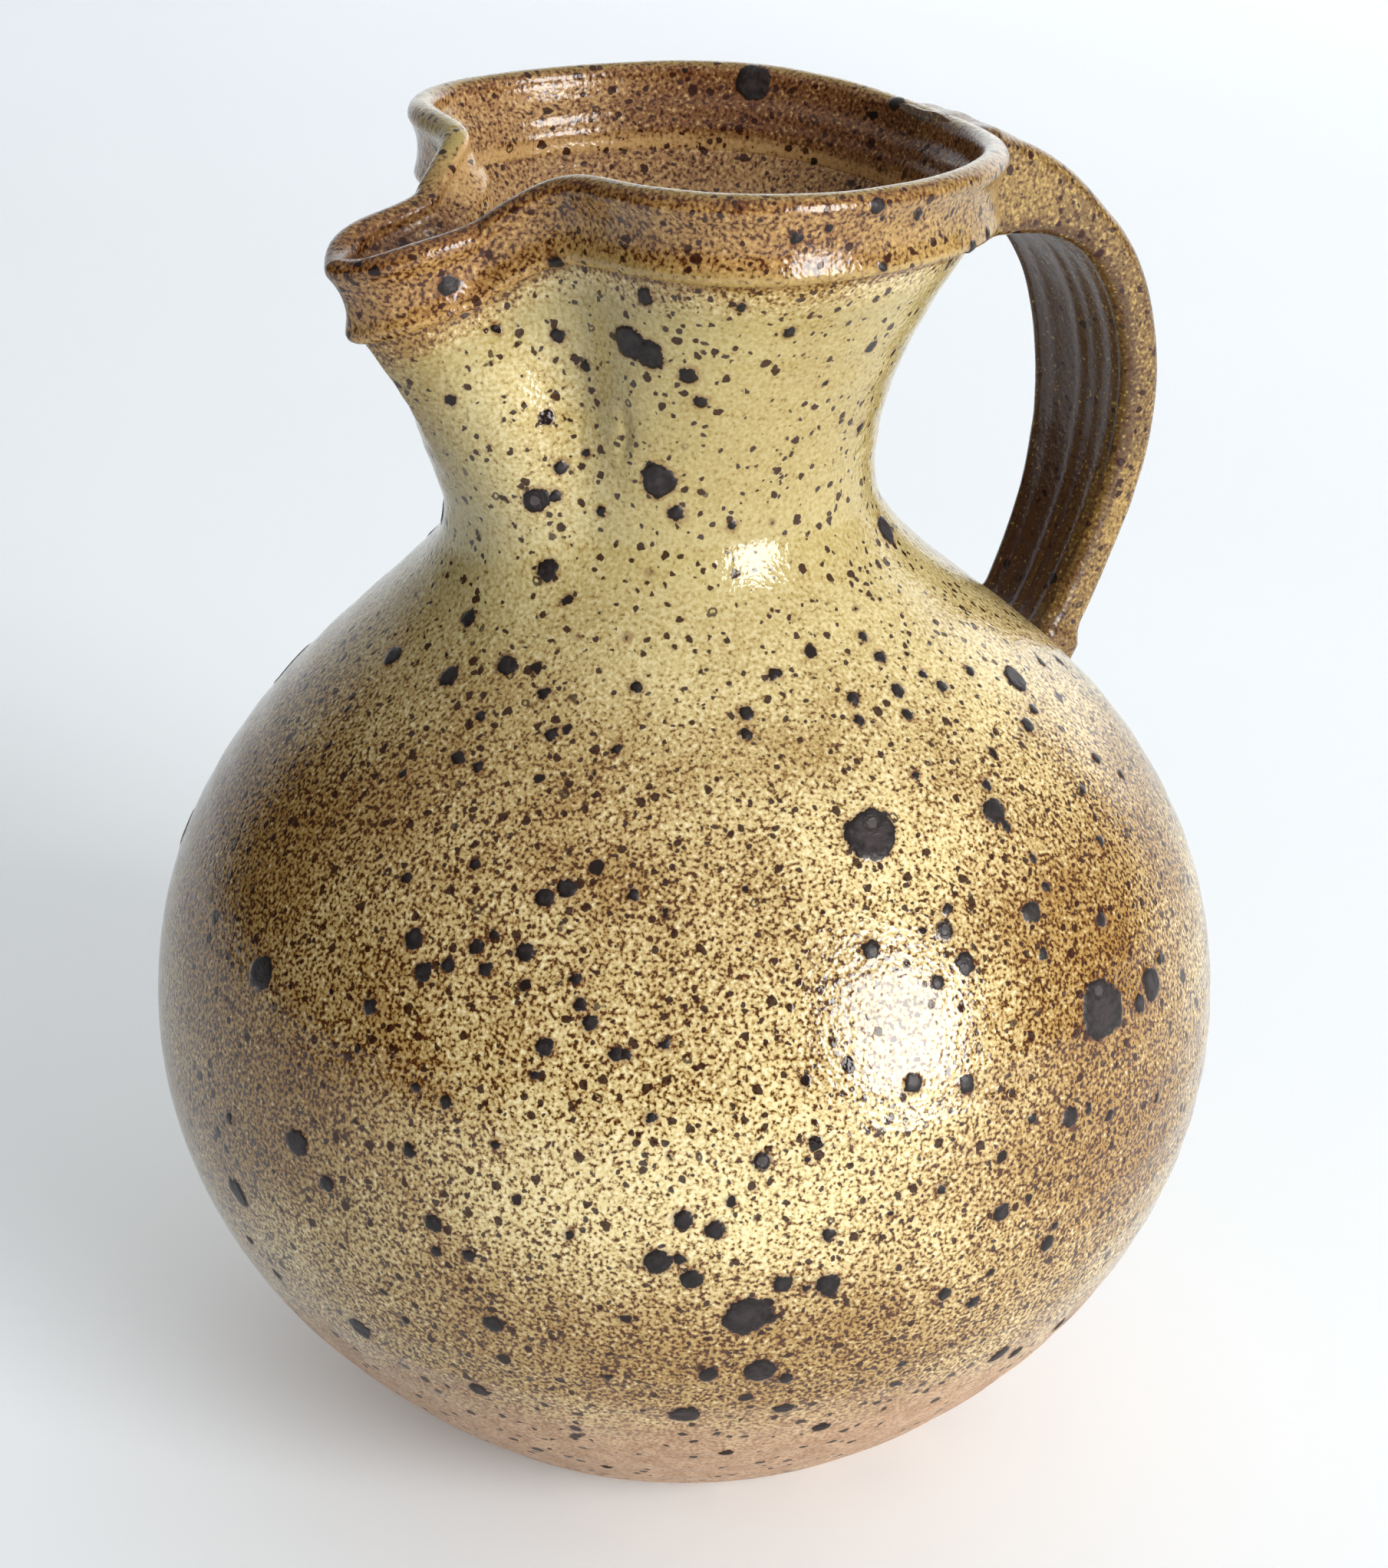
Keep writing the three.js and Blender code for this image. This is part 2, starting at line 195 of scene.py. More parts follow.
def fade(distance, width):
    return np.exp(-((distance / width) ** 2))


def mix(low, high, share):
    return low + (high - low) * share


def polar(length, degrees):
    turn = math.radians(degrees)
    return np.array([length * math.cos(turn), length * math.sin(turn)])


def bezier(points, share):
    share = np.asarray(share)[:, None]
    a, b, c, d = (np.asarray(point, float) for point in points)
    rest = 1 - share
    return rest**3 * a + 3 * rest**2 * share * b + 3 * rest * share**2 * c + share**3 * d


def spread(points, step):
    """The polyline through the points again, in even steps of about that length."""
    lengths = np.linalg.norm(np.diff(points, axis=0), axis=1)
    along = np.concatenate([[0], np.cumsum(lengths)])
    count = max(2, int(round(along[-1] / step)) + 1)
    places = np.linspace(0, along[-1], count)
    return np.stack([np.interp(places, along, points[:, k]) for k in range(points.shape[1])], axis=1)


def lattice(cell, seed):
    """A fixed random value between 0 and 1 for each cell of a grid."""
    phase = cell[..., 0] * 127.1 + cell[..., 1] * 311.7 + cell[..., 2] * 74.7 + seed * 53.3
    wave = np.sin(phase) * 43758.5453
    return wave - np.floor(wave)


def grain(points, size, seed):
    """Smooth random field between -1 and 1 with bumps of about that size."""
    spot = points / size
    cell = np.floor(spot)
    share = spot - cell
    share = share * share * (3 - 2 * share)
    total = np.zeros(points.shape[:-1])
    for corner in range(8):
        step = np.array([corner & 1, corner >> 1 & 1, corner >> 2 & 1], float)
        weight = np.prod(np.where(step > 0, share, 1 - share), axis=-1)
        total += weight * lattice(cell + step, seed)
    return 2 * total - 1


def from_spout(angle):
    return np.degrees(np.abs(np.mod(angle, 2 * np.pi) - np.pi))


def plan_radius(radius, level, angle):
    away = from_spout(angle)
    lip = smooth(level, throat_top, mid_collar)
    width = mix(THROAT_WIDTH, LIP_WIDTH, lip)
    throat = mix(THROAT_REACH, BAND_REACH, smooth(level, throat_top, collar_level))
    tip = (LIP_REACH - BAND_REACH) * smooth(level, collar_level, rim_level)
    reach = throat * smooth(level, throat_root, throat_top) + tip
    bump = np.exp(-((away / width) ** mix(THROAT_SQUARENESS, LIP_SQUARENESS, lip)))
    flare = np.maximum(radius - WAIST_RADIUS, 0)
    share = np.where(np.sin(angle) > 0, FAR_DENT_SHARE, DENT_SHARE)
    depth = share * flare * smooth(level, dent_root, mid_neck)
    dent_width = np.where(away < DENT_ANGLE, DENT_INNER_WIDTH, DENT_OUTER_WIDTH)
    dent = depth * fade(away - DENT_ANGLE, dent_width)
    refill = depth * fade(DENT_ANGLE, DENT_INNER_WIDTH)
    return radius - dent + (reach + refill) * bump


def bent_level(level, angle):
    away = from_spout(angle)
    drop = SPOUT_DROP * np.exp(-((away / DROP_WIDTH) ** DROP_SQUARENESS))
    dip = HANDLE_DIP * fade(180 - away, HANDLE_DIP_WIDTH)
    turned = np.degrees(np.angle(np.exp(1j * (angle - math.radians(BACK_LIFT_ANGLE)))))
    lift = BACK_LIFT * fade(turned, BACK_LIFT_WIDTH)
    hanging = drop * smooth(level, waist_level, collar_level)
    return level - hanging + (lift - dip) * smooth(level, mid_neck, rim_level)


def place(stations, angle):
    """Points of stations (radius, level, offset) at all the angles, as rows of columns."""
    radius, level, offset = (stations[:, k, None] for k in range(3))
    turn = angle[None, :]
    tiny = 1e-4
    here = plan_radius(radius, level, turn)
    slope = (plan_radius(radius, level, turn + tiny) - plan_radius(radius, level, turn - tiny)) / (2 * tiny)
    cos, sin = np.cos(turn), np.sin(turn)
    out_x = here * cos + slope * sin
    out_y = here * sin - slope * cos
    length = np.maximum(np.hypot(out_x, out_y), 1e-9)
    lean = NECK_LEAN * smooth(level, mid_shoulder, mid_neck)
    x = here * cos + offset * out_x / length - lean
    y = here * sin + offset * out_y / length
    z = np.broadcast_to(bent_level(level, turn), x.shape)
    return np.stack([x, y, z], axis=-1)


turns = np.arange(SEGMENTS) * 2 * np.pi / SEGMENTS
angles = turns + CROWDING * np.sin(turns)

# Outlines of the body: radius and level
share = np.linspace(0, 1, 200)
foot = np.array([FOOT_RADIUS, 0.0])
flare_end = np.array([FLARE_RADIUS, collar_level])
lower_curve = [foot, foot + polar(FOOT_PULL, FOOT_ANGLE), (BELLY_RADIUS, BELLY_LEVEL - BELLY_PULL_DOWN),
               (BELLY_RADIUS, BELLY_LEVEL)]
shoulder_curve = [(BELLY_RADIUS, BELLY_LEVEL), (BELLY_RADIUS, BELLY_LEVEL + BELLY_PULL_UP),
                  (WAIST_RADIUS, waist_level - WAIST_PULL_DOWN), (WAIST_RADIUS, waist_level)]
flare_curve = [(WAIST_RADIUS, waist_level), (WAIST_RADIUS, waist_level + WAIST_PULL_UP),
               flare_end - polar(FLARE_PULL, FLARE_ANGLE), flare_end]
lower_line = bezier(lower_curve, share)
shoulder_line = bezier(shoulder_curve, share)
flare_line = bezier(flare_curve, share)


def offset_line(line, distance):
    tangent = np.gradient(line, axis=0)
    tangent /= np.linalg.norm(tangent, axis=1, keepdims=True)
    return line + distance * np.stack([tangent[:, 1], -tangent[:, 0]], axis=1)


def stations_of(line, offset=0.0):
    return np.column_stack([line, np.full(len(line), offset)])


def rounded_foot():
    """The sharp edge between underside and wall taken off by a small round."""
    start = foot - np.array([FOOT_ROUND, 0])
    first = lower_line[np.argmax(np.linalg.norm(lower_line - foot, axis=1) > FOOT_ROUND)]
    return bezier([start, mix(start, foot, 0.6), mix(first, foot, 0.6), first], np.linspace(0, 1, 8))


def grid_normals(points):
    """Normals of a grid of rows round the axis, facing out of a surface whose rows climb on the outside."""
    along = np.gradient(points, axis=0)
    around = (np.roll(points, -1, axis=1) - np.roll(points, 1, axis=1)) / 2
    normal = np.cross(around, along)
    return normal / np.maximum(np.linalg.norm(normal, axis=2, keepdims=True), 1e-12)


# Camera in the part's frame, in millimetres
pitch, roll, turn = (math.radians(value) for value in (CAMERA_PITCH, CAMERA_ROLL, CAMERA_TURN))
to_part = Matrix.Rotation(-turn, 3, "Z")
level_right = Vector((1, 0, 0))
level_down = Vector((0, -math.sin(pitch), -math.cos(pitch)))
camera_right = to_part @ (math.cos(roll) * level_right + math.sin(roll) * level_down)
camera_down = to_part @ (math.cos(roll) * level_down - math.sin(roll) * level_right)
camera_forward = to_part @ Vector((0, math.cos(pitch), -math.sin(pitch)))
camera_place = to_part @ Vector((CAMERA_ASIDE, -CAMERA_DISTANCE, CAMERA_HEIGHT))


def seen_at(points):
    """Pixel of each point in the photograph's frame, and its depth."""
    from_camera = points - np.array(camera_place)
    depth = from_camera @ np.array(camera_forward)
    across = FRAME_WIDTH / 2 + FOCAL_PIXELS * (from_camera @ np.array(camera_right)) / depth
    down = FRAME_HEIGHT / 2 + FOCAL_PIXELS * (from_camera @ np.array(camera_down)) / depth
    return across, down, depth


# Iron blotches: place in the photograph's frame and size, in pixels; the pits are burst ones
BLOTCHES = [
    (820, 445, 42), (850, 462, 40), (897, 488, 25), (913, 523, 18), (860, 626, 48),
    (883, 671, 24), (698, 651, 35), (1153, 690, 40), (715, 743, 27), (611, 807, 26),
    (513, 855, 33), (586, 879, 30), (660, 866, 29), (1322, 884, 38), (973, 930, 20),
    (719, 956, 21), (598, 989, 21), (1138, 1084, 74), (1294, 1060, 34), (340, 1264, 46),
    (539, 1224, 28), (552, 1265, 28), (583, 1260, 19), (631, 1264, 20), (1345, 1189, 30),
    (1438, 1318, 80), (1499, 1283, 46), (1485, 1308, 29), (1258, 1254, 29), (1222, 1280, 21),
    (1137, 1237, 27), (712, 1362, 26), (388, 1487, 36), (428, 1542, 25), (310, 1553, 44),
    (1188, 1412, 25), (1260, 1413, 25), (933, 1602, 26), (858, 1643, 35), (901, 1668, 29),
    (1022, 1671, 27), (1082, 1677, 35), (970, 1716, 60), (992, 1788, 46), (1026, 1797, 25),
    (924, 1793, 28), (889, 1842, 42), (642, 1725, 29), (625, 1811, 29), (470, 1730, 35),
    (565, 1593, 25), (1305, 1578, 27), (1366, 1620, 26), (1302, 1764, 32), (727, 437, 18),
    (764, 478, 15), (841, 385, 24), (1030, 433, 17), (1120, 555, 16), (731, 609, 17),
    (724, 645, 15), (785, 664, 14), (955, 686, 14), (965, 401, 16), (709, 906, 19),
    (623, 1001, 17), (526, 1009, 14), (628, 931, 16), (828, 895, 15), (1007, 880, 17),
    (805, 978, 14), (973, 957, 15), (620, 1127, 15), (530, 1144, 14), (740, 1157, 24),
    (709, 1172, 24), (826, 1168, 17), (643, 1218, 14), (620, 1236, 19), (684, 1240, 23),
    (749, 1278, 16), (756, 1310, 18), (769, 1331, 19), (482, 1313, 21), (801, 1372, 20),
    (816, 1376, 18), (869, 1361, 15), (696, 1399, 15), (581, 1436, 18), (543, 1417, 15),
    (647, 1493, 15), (534, 1500, 20), (992, 1511, 21), (847, 1459, 14), (1123, 829, 14),
    (1147, 858, 17), (1203, 877, 14), (1228, 895, 17), (1171, 901, 19), (1183, 930, 16),
    (1112, 911, 15), (1118, 937, 13), (1262, 873, 15), (1358, 864, 16), (1381, 862, 16),
    (1347, 925, 17), (1338, 944, 24), (1429, 989, 16), (1460, 1009, 16), (1411, 1033, 13),
    (1434, 1097, 14), (1286, 1023, 17), (1310, 1076, 13), (1191, 1011, 13), (1345, 1117, 13),
    (1364, 1158, 16), (1434, 1197, 20), (1360, 1243, 16), (1511, 1252, 15), (1508, 1431, 14),
    (1447, 1452, 16), (1418, 1446, 16), (1394, 1458, 26), (1346, 1457, 16), (1230, 1213, 22),
    (1233, 1183, 15), (300, 1456, 18), (570, 1632, 19), (612, 1637, 18), (740, 1610, 13),
    (890, 1592, 24), (888, 1640, 15), (1050, 1679, 13), (1005, 1717, 17), (1078, 1608, 20),
    (1268, 1695, 24), (1232, 1687, 22), (1227, 1553, 15), (1373, 1597, 14), (1325, 1762, 24),
    (1380, 1727, 25), (1070, 1860, 24), (1020, 1835, 26), (945, 1893, 22), (790, 1912, 18),
    (325, 1615, 18), (360, 1660, 18), (530, 1720, 13), (792, 1795, 14),
]
PITS = [(1136, 1075), (698, 651), (1430, 1292), (1230, 1213), (992, 1511)]
RIM_BLOTCHES = [
    (1145, 270, 22), (1195, 282, 18), (1268, 330, 22), (583, 372, 26), (725, 345, 26),
    (1038, 308, 16), (1081, 298, 15), (1287, 304, 18), (1150, 349, 14),
]
INNER_BLOTCHES = [(983, 107, 44), (1170, 133, 22)]
HANDLE_BLOTCHES = [
    (1448, 549, 17), (1439, 372, 16), (1463, 518, 14), (1398, 265, 14), (1344, 215, 14),
    (1312, 182, 15), (1470, 440, 13), (1432, 640, 13),
]
# Hollows pressed or creased into the neck: pixels along each, width and depth in millimetres
HOLLOWS = [
    ([(1150, 560), (1122, 588), (1085, 620)], 0.5, 0.3),
    ([(752, 500), (750, 570), (757, 640)], 0.5, 0.12),
    ([(808, 535), (815, 568), (809, 600)], 1.1, 0.8),
    ([(738, 390), (748, 520), (762, 670)], 6.5, 3.0),
]
# Browner stretches of the belly and neck, partly browner glaze and partly painted shade on the belly's
# shaded left;
# a negative strength paints light on the left of the throat. Place, half width, half height in pixels, and
# strength
GLAZE_AND_SHADING_ZONES = [
    (300, 1120, 300, 470, 0.6), (640, 1000, 220, 110, 0.35), (350, 1520, 280, 220, 0.3),
    (900, 1760, 560, 110, 0.5), (780, 1200, 260, 170, 0.2), (1480, 1160, 130, 330, 0.5),
    (1010, 965, 260, 60, 0.25), (1100, 460, 120, 110, 0.3), (640, 470, 60, 120, 0.2),
    (1330, 1560, 200, 160, 0.3), (960, 540, 200, 140, 0.2), (640, 590, 60, 130, -0.4),
    (530, 560, 55, 130, 0.6), (1430, 1380, 150, 300, 0.3),
]
# How near to a wanted pixel a seat lies, and how far in millimetres behind the front surface
SEAT_PIXELS = 6.0
SEAT_DEPTH = 10.0
# Blotches on the hidden side: count, seed, how far turned away, gaps and radii in millimetres
BACK_BLOTCHES = 46
BACK_SEED = 5
BACK_TURNED = -20.0
BACK_GAP = 9.0
BACK_LEAST = 1.2
BACK_SPREAD = 3.4
BACK_RARENESS = 2.2


def find_seats(points, normals, wanted):
    """Where the camera sees the wanted pixels on a grid: centres and radii in millimetres."""
    across, down, depth = (field.ravel() for field in seen_at(points))
    flat = points.reshape(-1, 3)
    view = np.array(camera_place) - flat
    facing = (normals.reshape(-1, 3) * view).sum(axis=1) > 0
    seats = []
    for pixel_x, pixel_y, size in wanted:
        miss = np.hypot(across - pixel_x, down - pixel_y)
        close = facing & (miss < SEAT_PIXELS)
        if not close.any():
            close = facing & (miss < miss[facing].min() + 1)
        close &= depth < depth[close].min() + SEAT_DEPTH
        pick = np.where(close, miss, np.inf).argmin()
        seats.append((flat[pick], size / 2 * depth[pick] / FOCAL_PIXELS))
    return seats


def blotch_field(points, seats):
    """Distance in millimetres to the nearest blotch's ragged edge: negative inside, limited outside."""
    field = np.full(points.shape[:-1], BLOTCH_RANGE)
    ragged = 1 + 0.2 * grain(points, 3.0, 1) + 0.1 * grain(points, 1.2, 2)
    for centre, radius in seats:
        low = centre - radius - BLOTCH_MARGIN
        high = centre + radius + BLOTCH_MARGIN
        near = ((points > low) & (points < high)).all(axis=-1)
        distance = np.linalg.norm(points[near] - centre, axis=-1)
        field[near] = np.minimum(field[near], distance - radius * ragged[near])
    return field


def hollow_field(points, normals):
    """Depth of the pressed hollows and creases, fading to nothing at both ends."""
    depth = np.zeros(points.shape[:-1])
    for pixels, width, deepest in HOLLOWS:
        wanted = [(*pixel, 1) for pixel in pixels]
        ends = np.array([seat for seat, _ in find_seats(points, normals, wanted)])
        line = spread(ends, 0.5)
        margin = 3 * width + 1
        near = ((points > line.min(axis=0) - margin) & (points < line.max(axis=0) + margin)).all(axis=-1)
        gaps = np.linalg.norm(points[near][:, None] - line[None], axis=-1)
        taper = np.sin(np.pi * np.linspace(0.08, 0.92, len(line)))[gaps.argmin(axis=1)]
        depth[near] += deepest * taper * fade(gaps.min(axis=1), width)
    return depth


def zone_field(points, normals):
    """Strength of the browner stretches, with their painted shade and painted light, on the side that the
    camera sees.
    """
    across, down, _ = seen_at(points)
    view = np.array(camera_place) - points
    facing = (view * normals).sum(axis=-1) / np.linalg.norm(view, axis=-1)
    field = np.zeros(across.shape)
    for pixel_x, pixel_y, half_width, half_height, strength in GLAZE_AND_SHADING_ZONES:
        spot = ((across - pixel_x) / half_width) ** 2 + ((down - pixel_y) / half_height) ** 2
        field += strength * np.exp(-spot)
    return np.clip(field, -0.4, 0.85) * smooth(facing, -0.6, 0.15)


def pit_field(points, seats):
    """Distance in millimetres to the middle of the nearest burst blotch, limited far from it."""
    field = np.full(points.shape[:-1], BLOTCH_RANGE)
    for centre, _ in seats:
        field = np.minimum(field, np.linalg.norm(points - centre, axis=-1))
    return field


def grid_quads(rows, columns, start=0):
    """Quads of a grid whose columns run round, numbered from start."""
    row, column = np.meshgrid(np.arange(rows - 1), np.arange(columns), indexing="ij")
    beside = (column + 1) % columns
    here = row * columns
    above = (row + 1) * columns
    corners = [here + column, here + beside, above + beside, above + column]
    return np.stack(corners, axis=-1).reshape(-1, 4) + start


def bridge_quads(first, second, columns):
    """Quads between two rings of points that start at those numbers."""
    column = np.arange(columns)
    beside = (column + 1) % columns
    return np.stack([first + column, first + beside, second + beside, second + column], axis=1)


def fan(centre, ring, columns, flipped):
    """Triangles from one point to a ring of points."""
    column = np.arange(columns)
    beside = (column + 1) % columns
    ends = (beside, column) if flipped else (column, beside)
    return np.stack([np.full(columns, centre), ring + ends[0], ring + ends[1]], axis=1)


def make_piece(name, points, faces, materials, choice=None, normals=None, **fields):
    """A smooth mesh object from points in millimetres and lists of faces with equal corner counts."""
    mesh = bpy.data.meshes.new(name)
    mesh.vertices.add(len(points))
    mesh.vertices.foreach_set("co", (np.asarray(points) * MM).astype(np.float32).ravel())
    corners = np.concatenate([group.ravel() for group in faces])
    counts = np.concatenate([np.full(len(group), group.shape[1]) for group in faces])
    starts = np.concatenate([[0], np.cumsum(counts)[:-1]])
    mesh.loops.add(len(corners))
    mesh.loops.foreach_set("vertex_index", corners.astype(np.int32))
    mesh.polygons.add(len(counts))
    mesh.polygons.foreach_set("loop_start", starts.astype(np.int32))
    mesh.polygons.foreach_set("use_smooth", np.ones(len(counts), bool))
    for material in materials:
        mesh.materials.append(material)
    if choice is not None:
        mesh.polygons.foreach_set("material_index", choice.astype(np.int32))
    mesh.update(calc_edges=True)
    mesh.validate()
    for field, values in fields.items():
        layer = mesh.attributes.new(field, "FLOAT", "POINT")
        layer.data.foreach_set("value", np.asarray(values, np.float32).ravel())
    if normals is not None:
        mesh.normals_split_custom_set_from_vertices(normals)
    piece = bpy.data.objects.new(name, mesh)
    bpy.context.scene.collection.objects.link(piece)
    return piece


def dress(piece, slot_name, *nodes):
    """Put a piece on the body in place of those solids; its slot name is not used."""
    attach(piece, "root")
    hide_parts(*nodes)


# Materials
def paint(code):
    """Linear colour of a hexadecimal one."""
    values = [int(code[k:k + 2], 16) / 255 for k in (1, 3, 5)]
    linear = [v / 12.92 if v <= 0.04045 else ((v + 0.055) / 1.055) ** 2.4 for v in values]
    return (*linear, 1.0)


class Shader:
    """Short ways to add nodes to a material."""

    def __init__(self, name):
        self.material = bpy.data.materials.new(name)
        self.material.use_nodes = True
        self.tree = self.material.node_tree
        self.tree.nodes.clear()
        self.output = self.tree.nodes.new("ShaderNodeOutputMaterial")
        self.place = self.node("ShaderNodeTexCoord").outputs["Object"]

    def node(self, kind, sockets=None, **settings):
        made = self.tree.nodes.new(kind)
        for key, value in settings.items():
            setattr(made, key, value)
        for key, value in (sockets or {}).items():
            if isinstance(value, bpy.types.NodeSocket):
                self.tree.links.new(value, made.inputs[key])
            else:
                made.inputs[key].default_value = value
        return made

    def math(self, operation, first, second=0.0):
        made = self.node("ShaderNodeMath", {0: first, 1: second}, operation=operation)
        return made.outputs[0]

    def plus(self, first, second):
        return self.math("ADD", first, second)

    def minus(self, first, second):
        return self.math("SUBTRACT", first, second)

    def times(self, first, second):
        return self.math("MULTIPLY", first, second)

    def most(self, first, second):
        return self.math("MAXIMUM", first, second)

    def ramp(self, value, low, high, start=0.0, end=1.0):
        sockets = {"Value": value, "From Min": low, "From Max": high, "To Min": start, "To Max": end}
        return self.node("ShaderNodeMapRange", sockets, interpolation_type="SMOOTHSTEP").outputs["Result"]

    def blend(self, factor, first, second):
        made = self.node("ShaderNodeMix", {0: factor, 6: first, 7: second}, data_type="RGBA")
        return made.outputs[2]

    def noise(self, size, detail=2.0, rough=0.5, place=None):
        sockets = {
            "Vector": place or self.place,
            "Scale": 1 / (size * MM),
            "Detail": detail,
            "Roughness": rough,
        }
        return self.node("ShaderNodeTexNoise", sockets).outputs["Fac"]

    def specks(self, size, least, most, edge, place):
        """Round specks, one to a cell of that size, with radii as shares of the cell."""
        cells = self.node("ShaderNodeTexVoronoi", {"Vector": place, "Scale": 1 / (size * MM)})
        chance = self.node("ShaderNodeSeparateColor", {"Color": cells.outputs["Color"]}).outputs["Red"]
        radius = self.ramp(self.math("POWER", chance, 2.0), 0.0, 1.0, least, most)
        inside = self.minus(radius, cells.outputs["Distance"])
        return self.ramp(inside, -edge, edge)

    def rings(self, size, least, most, width, place):
        """Small rings left by burst bubbles, one to a cell of that size."""
        cells = self.node("ShaderNodeTexVoronoi", {"Vector": place, "Scale": 1 / (size * MM)})
        chance = self.node("ShaderNodeSeparateColor", {"Color": cells.outputs["Color"]}).outputs["Green"]
        radius = self.ramp(chance, 0.0, 1.0, least, most)
        gap = self.math("ABSOLUTE", self.minus(radius, cells.outputs["Distance"]))
        line = self.ramp(gap, width, width * 0.4)
        return self.times(line, self.ramp(radius, width, width * 1.5))

    def attribute(self, name):
        return self.node("ShaderNodeAttribute", attribute_name=name).outputs["Fac"]

    def height(self):
        return self.node("ShaderNodeSeparateXYZ", {"Vector": self.place}).outputs["Z"]


def glaze(name, colours, density, gloss, foot=False):
    """Salt glaze over speckled clay: deep where it is thin, pale where it is thick, brown crumbs between.

    Four fields of the mesh steer it: brown tints it, both for browner glaze and for painted shade, and
    lightens it where negative; clear thins the crumbs out and paints highlights on the band's edges; blotch
    is the distance to the nearest iron blotch and pit the one to the nearest burst middle.
    """
    deep, pale, clear_tone, crumb, fleck = map(paint, colours)
    s = Shader(name)
    bend = s.node("ShaderNodeTexNoise", {"Vector": s.place, "Scale": 650.0, "Detail": 2.0}).outputs["Color"]
    centred = s.node("ShaderNodeVectorMath", {0: bend, 1: (0.5, 0.5, 0.5)}, operation="SUBTRACT").outputs[0]
    shift = s.node("ShaderNodeVectorMath", {0: centred, "Scale": 0.0014}, operation="SCALE").outputs[0]
    bent = s.node("ShaderNodeVectorMath", {0: s.place, 1: shift}, operation="ADD").outputs[0]
    flattened = s.node("ShaderNodeMapping", {"Vector": s.place, "Scale": (1.0, 1.0, 1.9)}).outputs[0]
    aside = s.node("ShaderNodeMapping", {"Vector": s.place, "Location": (0.37, 0.11, 0.23)}).outputs[0]
    wide = s.noise(80, 2.0, 0.5, flattened)
    cloud = s.noise(15, 3.0, 0.6)
    fine = s.noise(CRUMB_SIZE, 1.5, 0.5)
    coarse = s.noise(1.1, 2.0, 0.6, aside)
    brown, clear = s.attribute("brown"), s.attribute("clear")

    patches = s.ramp(wide, 0.3, 0.7, 0.3, 0.7)
    tone = s.plus(patches, s.times(s.minus(cloud, 0.5), 1.1))
    tone = s.minus(tone, s.times(brown, 1.1))
    colour = s.blend(s.ramp(tone, -0.5, 0.9), deep, pale)
    colour = s.blend(s.times(clear, 0.85), colour, clear_tone)

    thin = s.ramp(tone, -0.6, 1.2, -0.09, 0.05)
    limit = s.plus(s.plus(thin, density), s.times(clear, 0.1))
    above = s.minus(fine, limit)
    plain = s.minus(1.0, s.times(clear, 0.55))
    crumbs = s.times(s.ramp(above, -0.1, 0.08), plain)
    grains = s.times(s.ramp(above, 0.044, 0.115), plain)
    cloudy = s.minus(1.0, s.times(clear, 0.85))
    flecks = s.times(s.ramp(above, -0.12, -0.26), cloudy)
    grit = s.specks(2.3, 0.0, 0.36, 0.04, bent)
    dots = s.specks(1.5, 0.0, 0.35, 0.05, bent)
    spots = s.specks(6.0, -0.02, 0.2, 0.016, bent)
    halo = s.specks(6.0, 0.0, 0.25, 0.04, bent)
    bubbles = s.rings(5.0, -0.12, 0.12, 0.06, bent)
    ragged = s.times(s.minus(coarse, 0.5), 1.5)
    edge = s.plus(s.attribute("blotch"), ragged)
    blotch = s.ramp(edge, 0.12, -0.12)
    rim = s.times(blotch, s.ramp(edge, -0.9, -0.25))
    burn = s.ramp(edge, 0.9, 0.05)
    from_pit = s.plus(s.attribute("pit"), s.times(ragged, 0.5))
    pit = s.ramp(from_pit, 0.95, 0.65)
    crust_ring = s.ramp(s.math("ABSOLUTE", s.minus(from_pit, 1.35)), 0.55, 0.1)
    crust_ring = s.times(crust_ring, s.ramp(coarse, 0.4, 0.6))

    crust = s.blend(s.ramp(s.noise(1.2, 2.0), 0.35, 0.7), paint("#1a1312"), paint("#302829"))
    crust = s.blend(s.ramp(edge, -1.2, -3.2, 0.0, 0.5), crust, paint("#423839"))
    layers = (
        (crumbs, 0.9, crumb),
        (grains, 0.95, paint("#431d06")),
        (flecks, 0.75, fleck),
        (s.most(halo, burn), 0.5, paint("#6a3714")),
        (s.most(grit, dots), 0.95, paint("#301006")),
        (bubbles, 0.85, paint("#2f150c")),
        (spots, 1.0, paint("#1d100b")),
        (blotch, 1.0, crust),
        (rim, 0.9, paint("#170b07")),
        (crust_ring, 0.8, paint("#150f0e")),
        (pit, 0.9, paint("#4a4342")),
    )
    for cover, strength, tint in layers:
        colour = s.blend(s.times(cover, strength), colour, tint)

    rough = s.ramp(s.noise(2.5, 2.0), 0.25, 0.75, gloss - 0.03, gloss + 0.05)
    rough = s.plus(rough, s.times(brown, 0.06))
    rough = s.plus(rough, s.times(blotch, 0.3))
    if foot:
        level = s.plus(s.height(), s.times(s.minus(cloud, 0.5), 0.02))
        bare = s.ramp(level, GLAZED_LEVEL, BARE_LEVEL)
        dry = s.blend(s.ramp(s.noise(4.0, 4.0), 0.3, 0.7), paint("#ae8765"), paint("#c8a484"))
        dry = s.blend(s.times(crumbs, 0.4), dry, paint("#6d4423"))
        dry = s.blend(s.most(grit, s.most(spots, blotch)), dry, paint("#2a1c15"))
        colour = s.blend(s.times(bare, 0.92), colour, dry)
        rough = s.plus(rough, s.times(bare, 0.4))

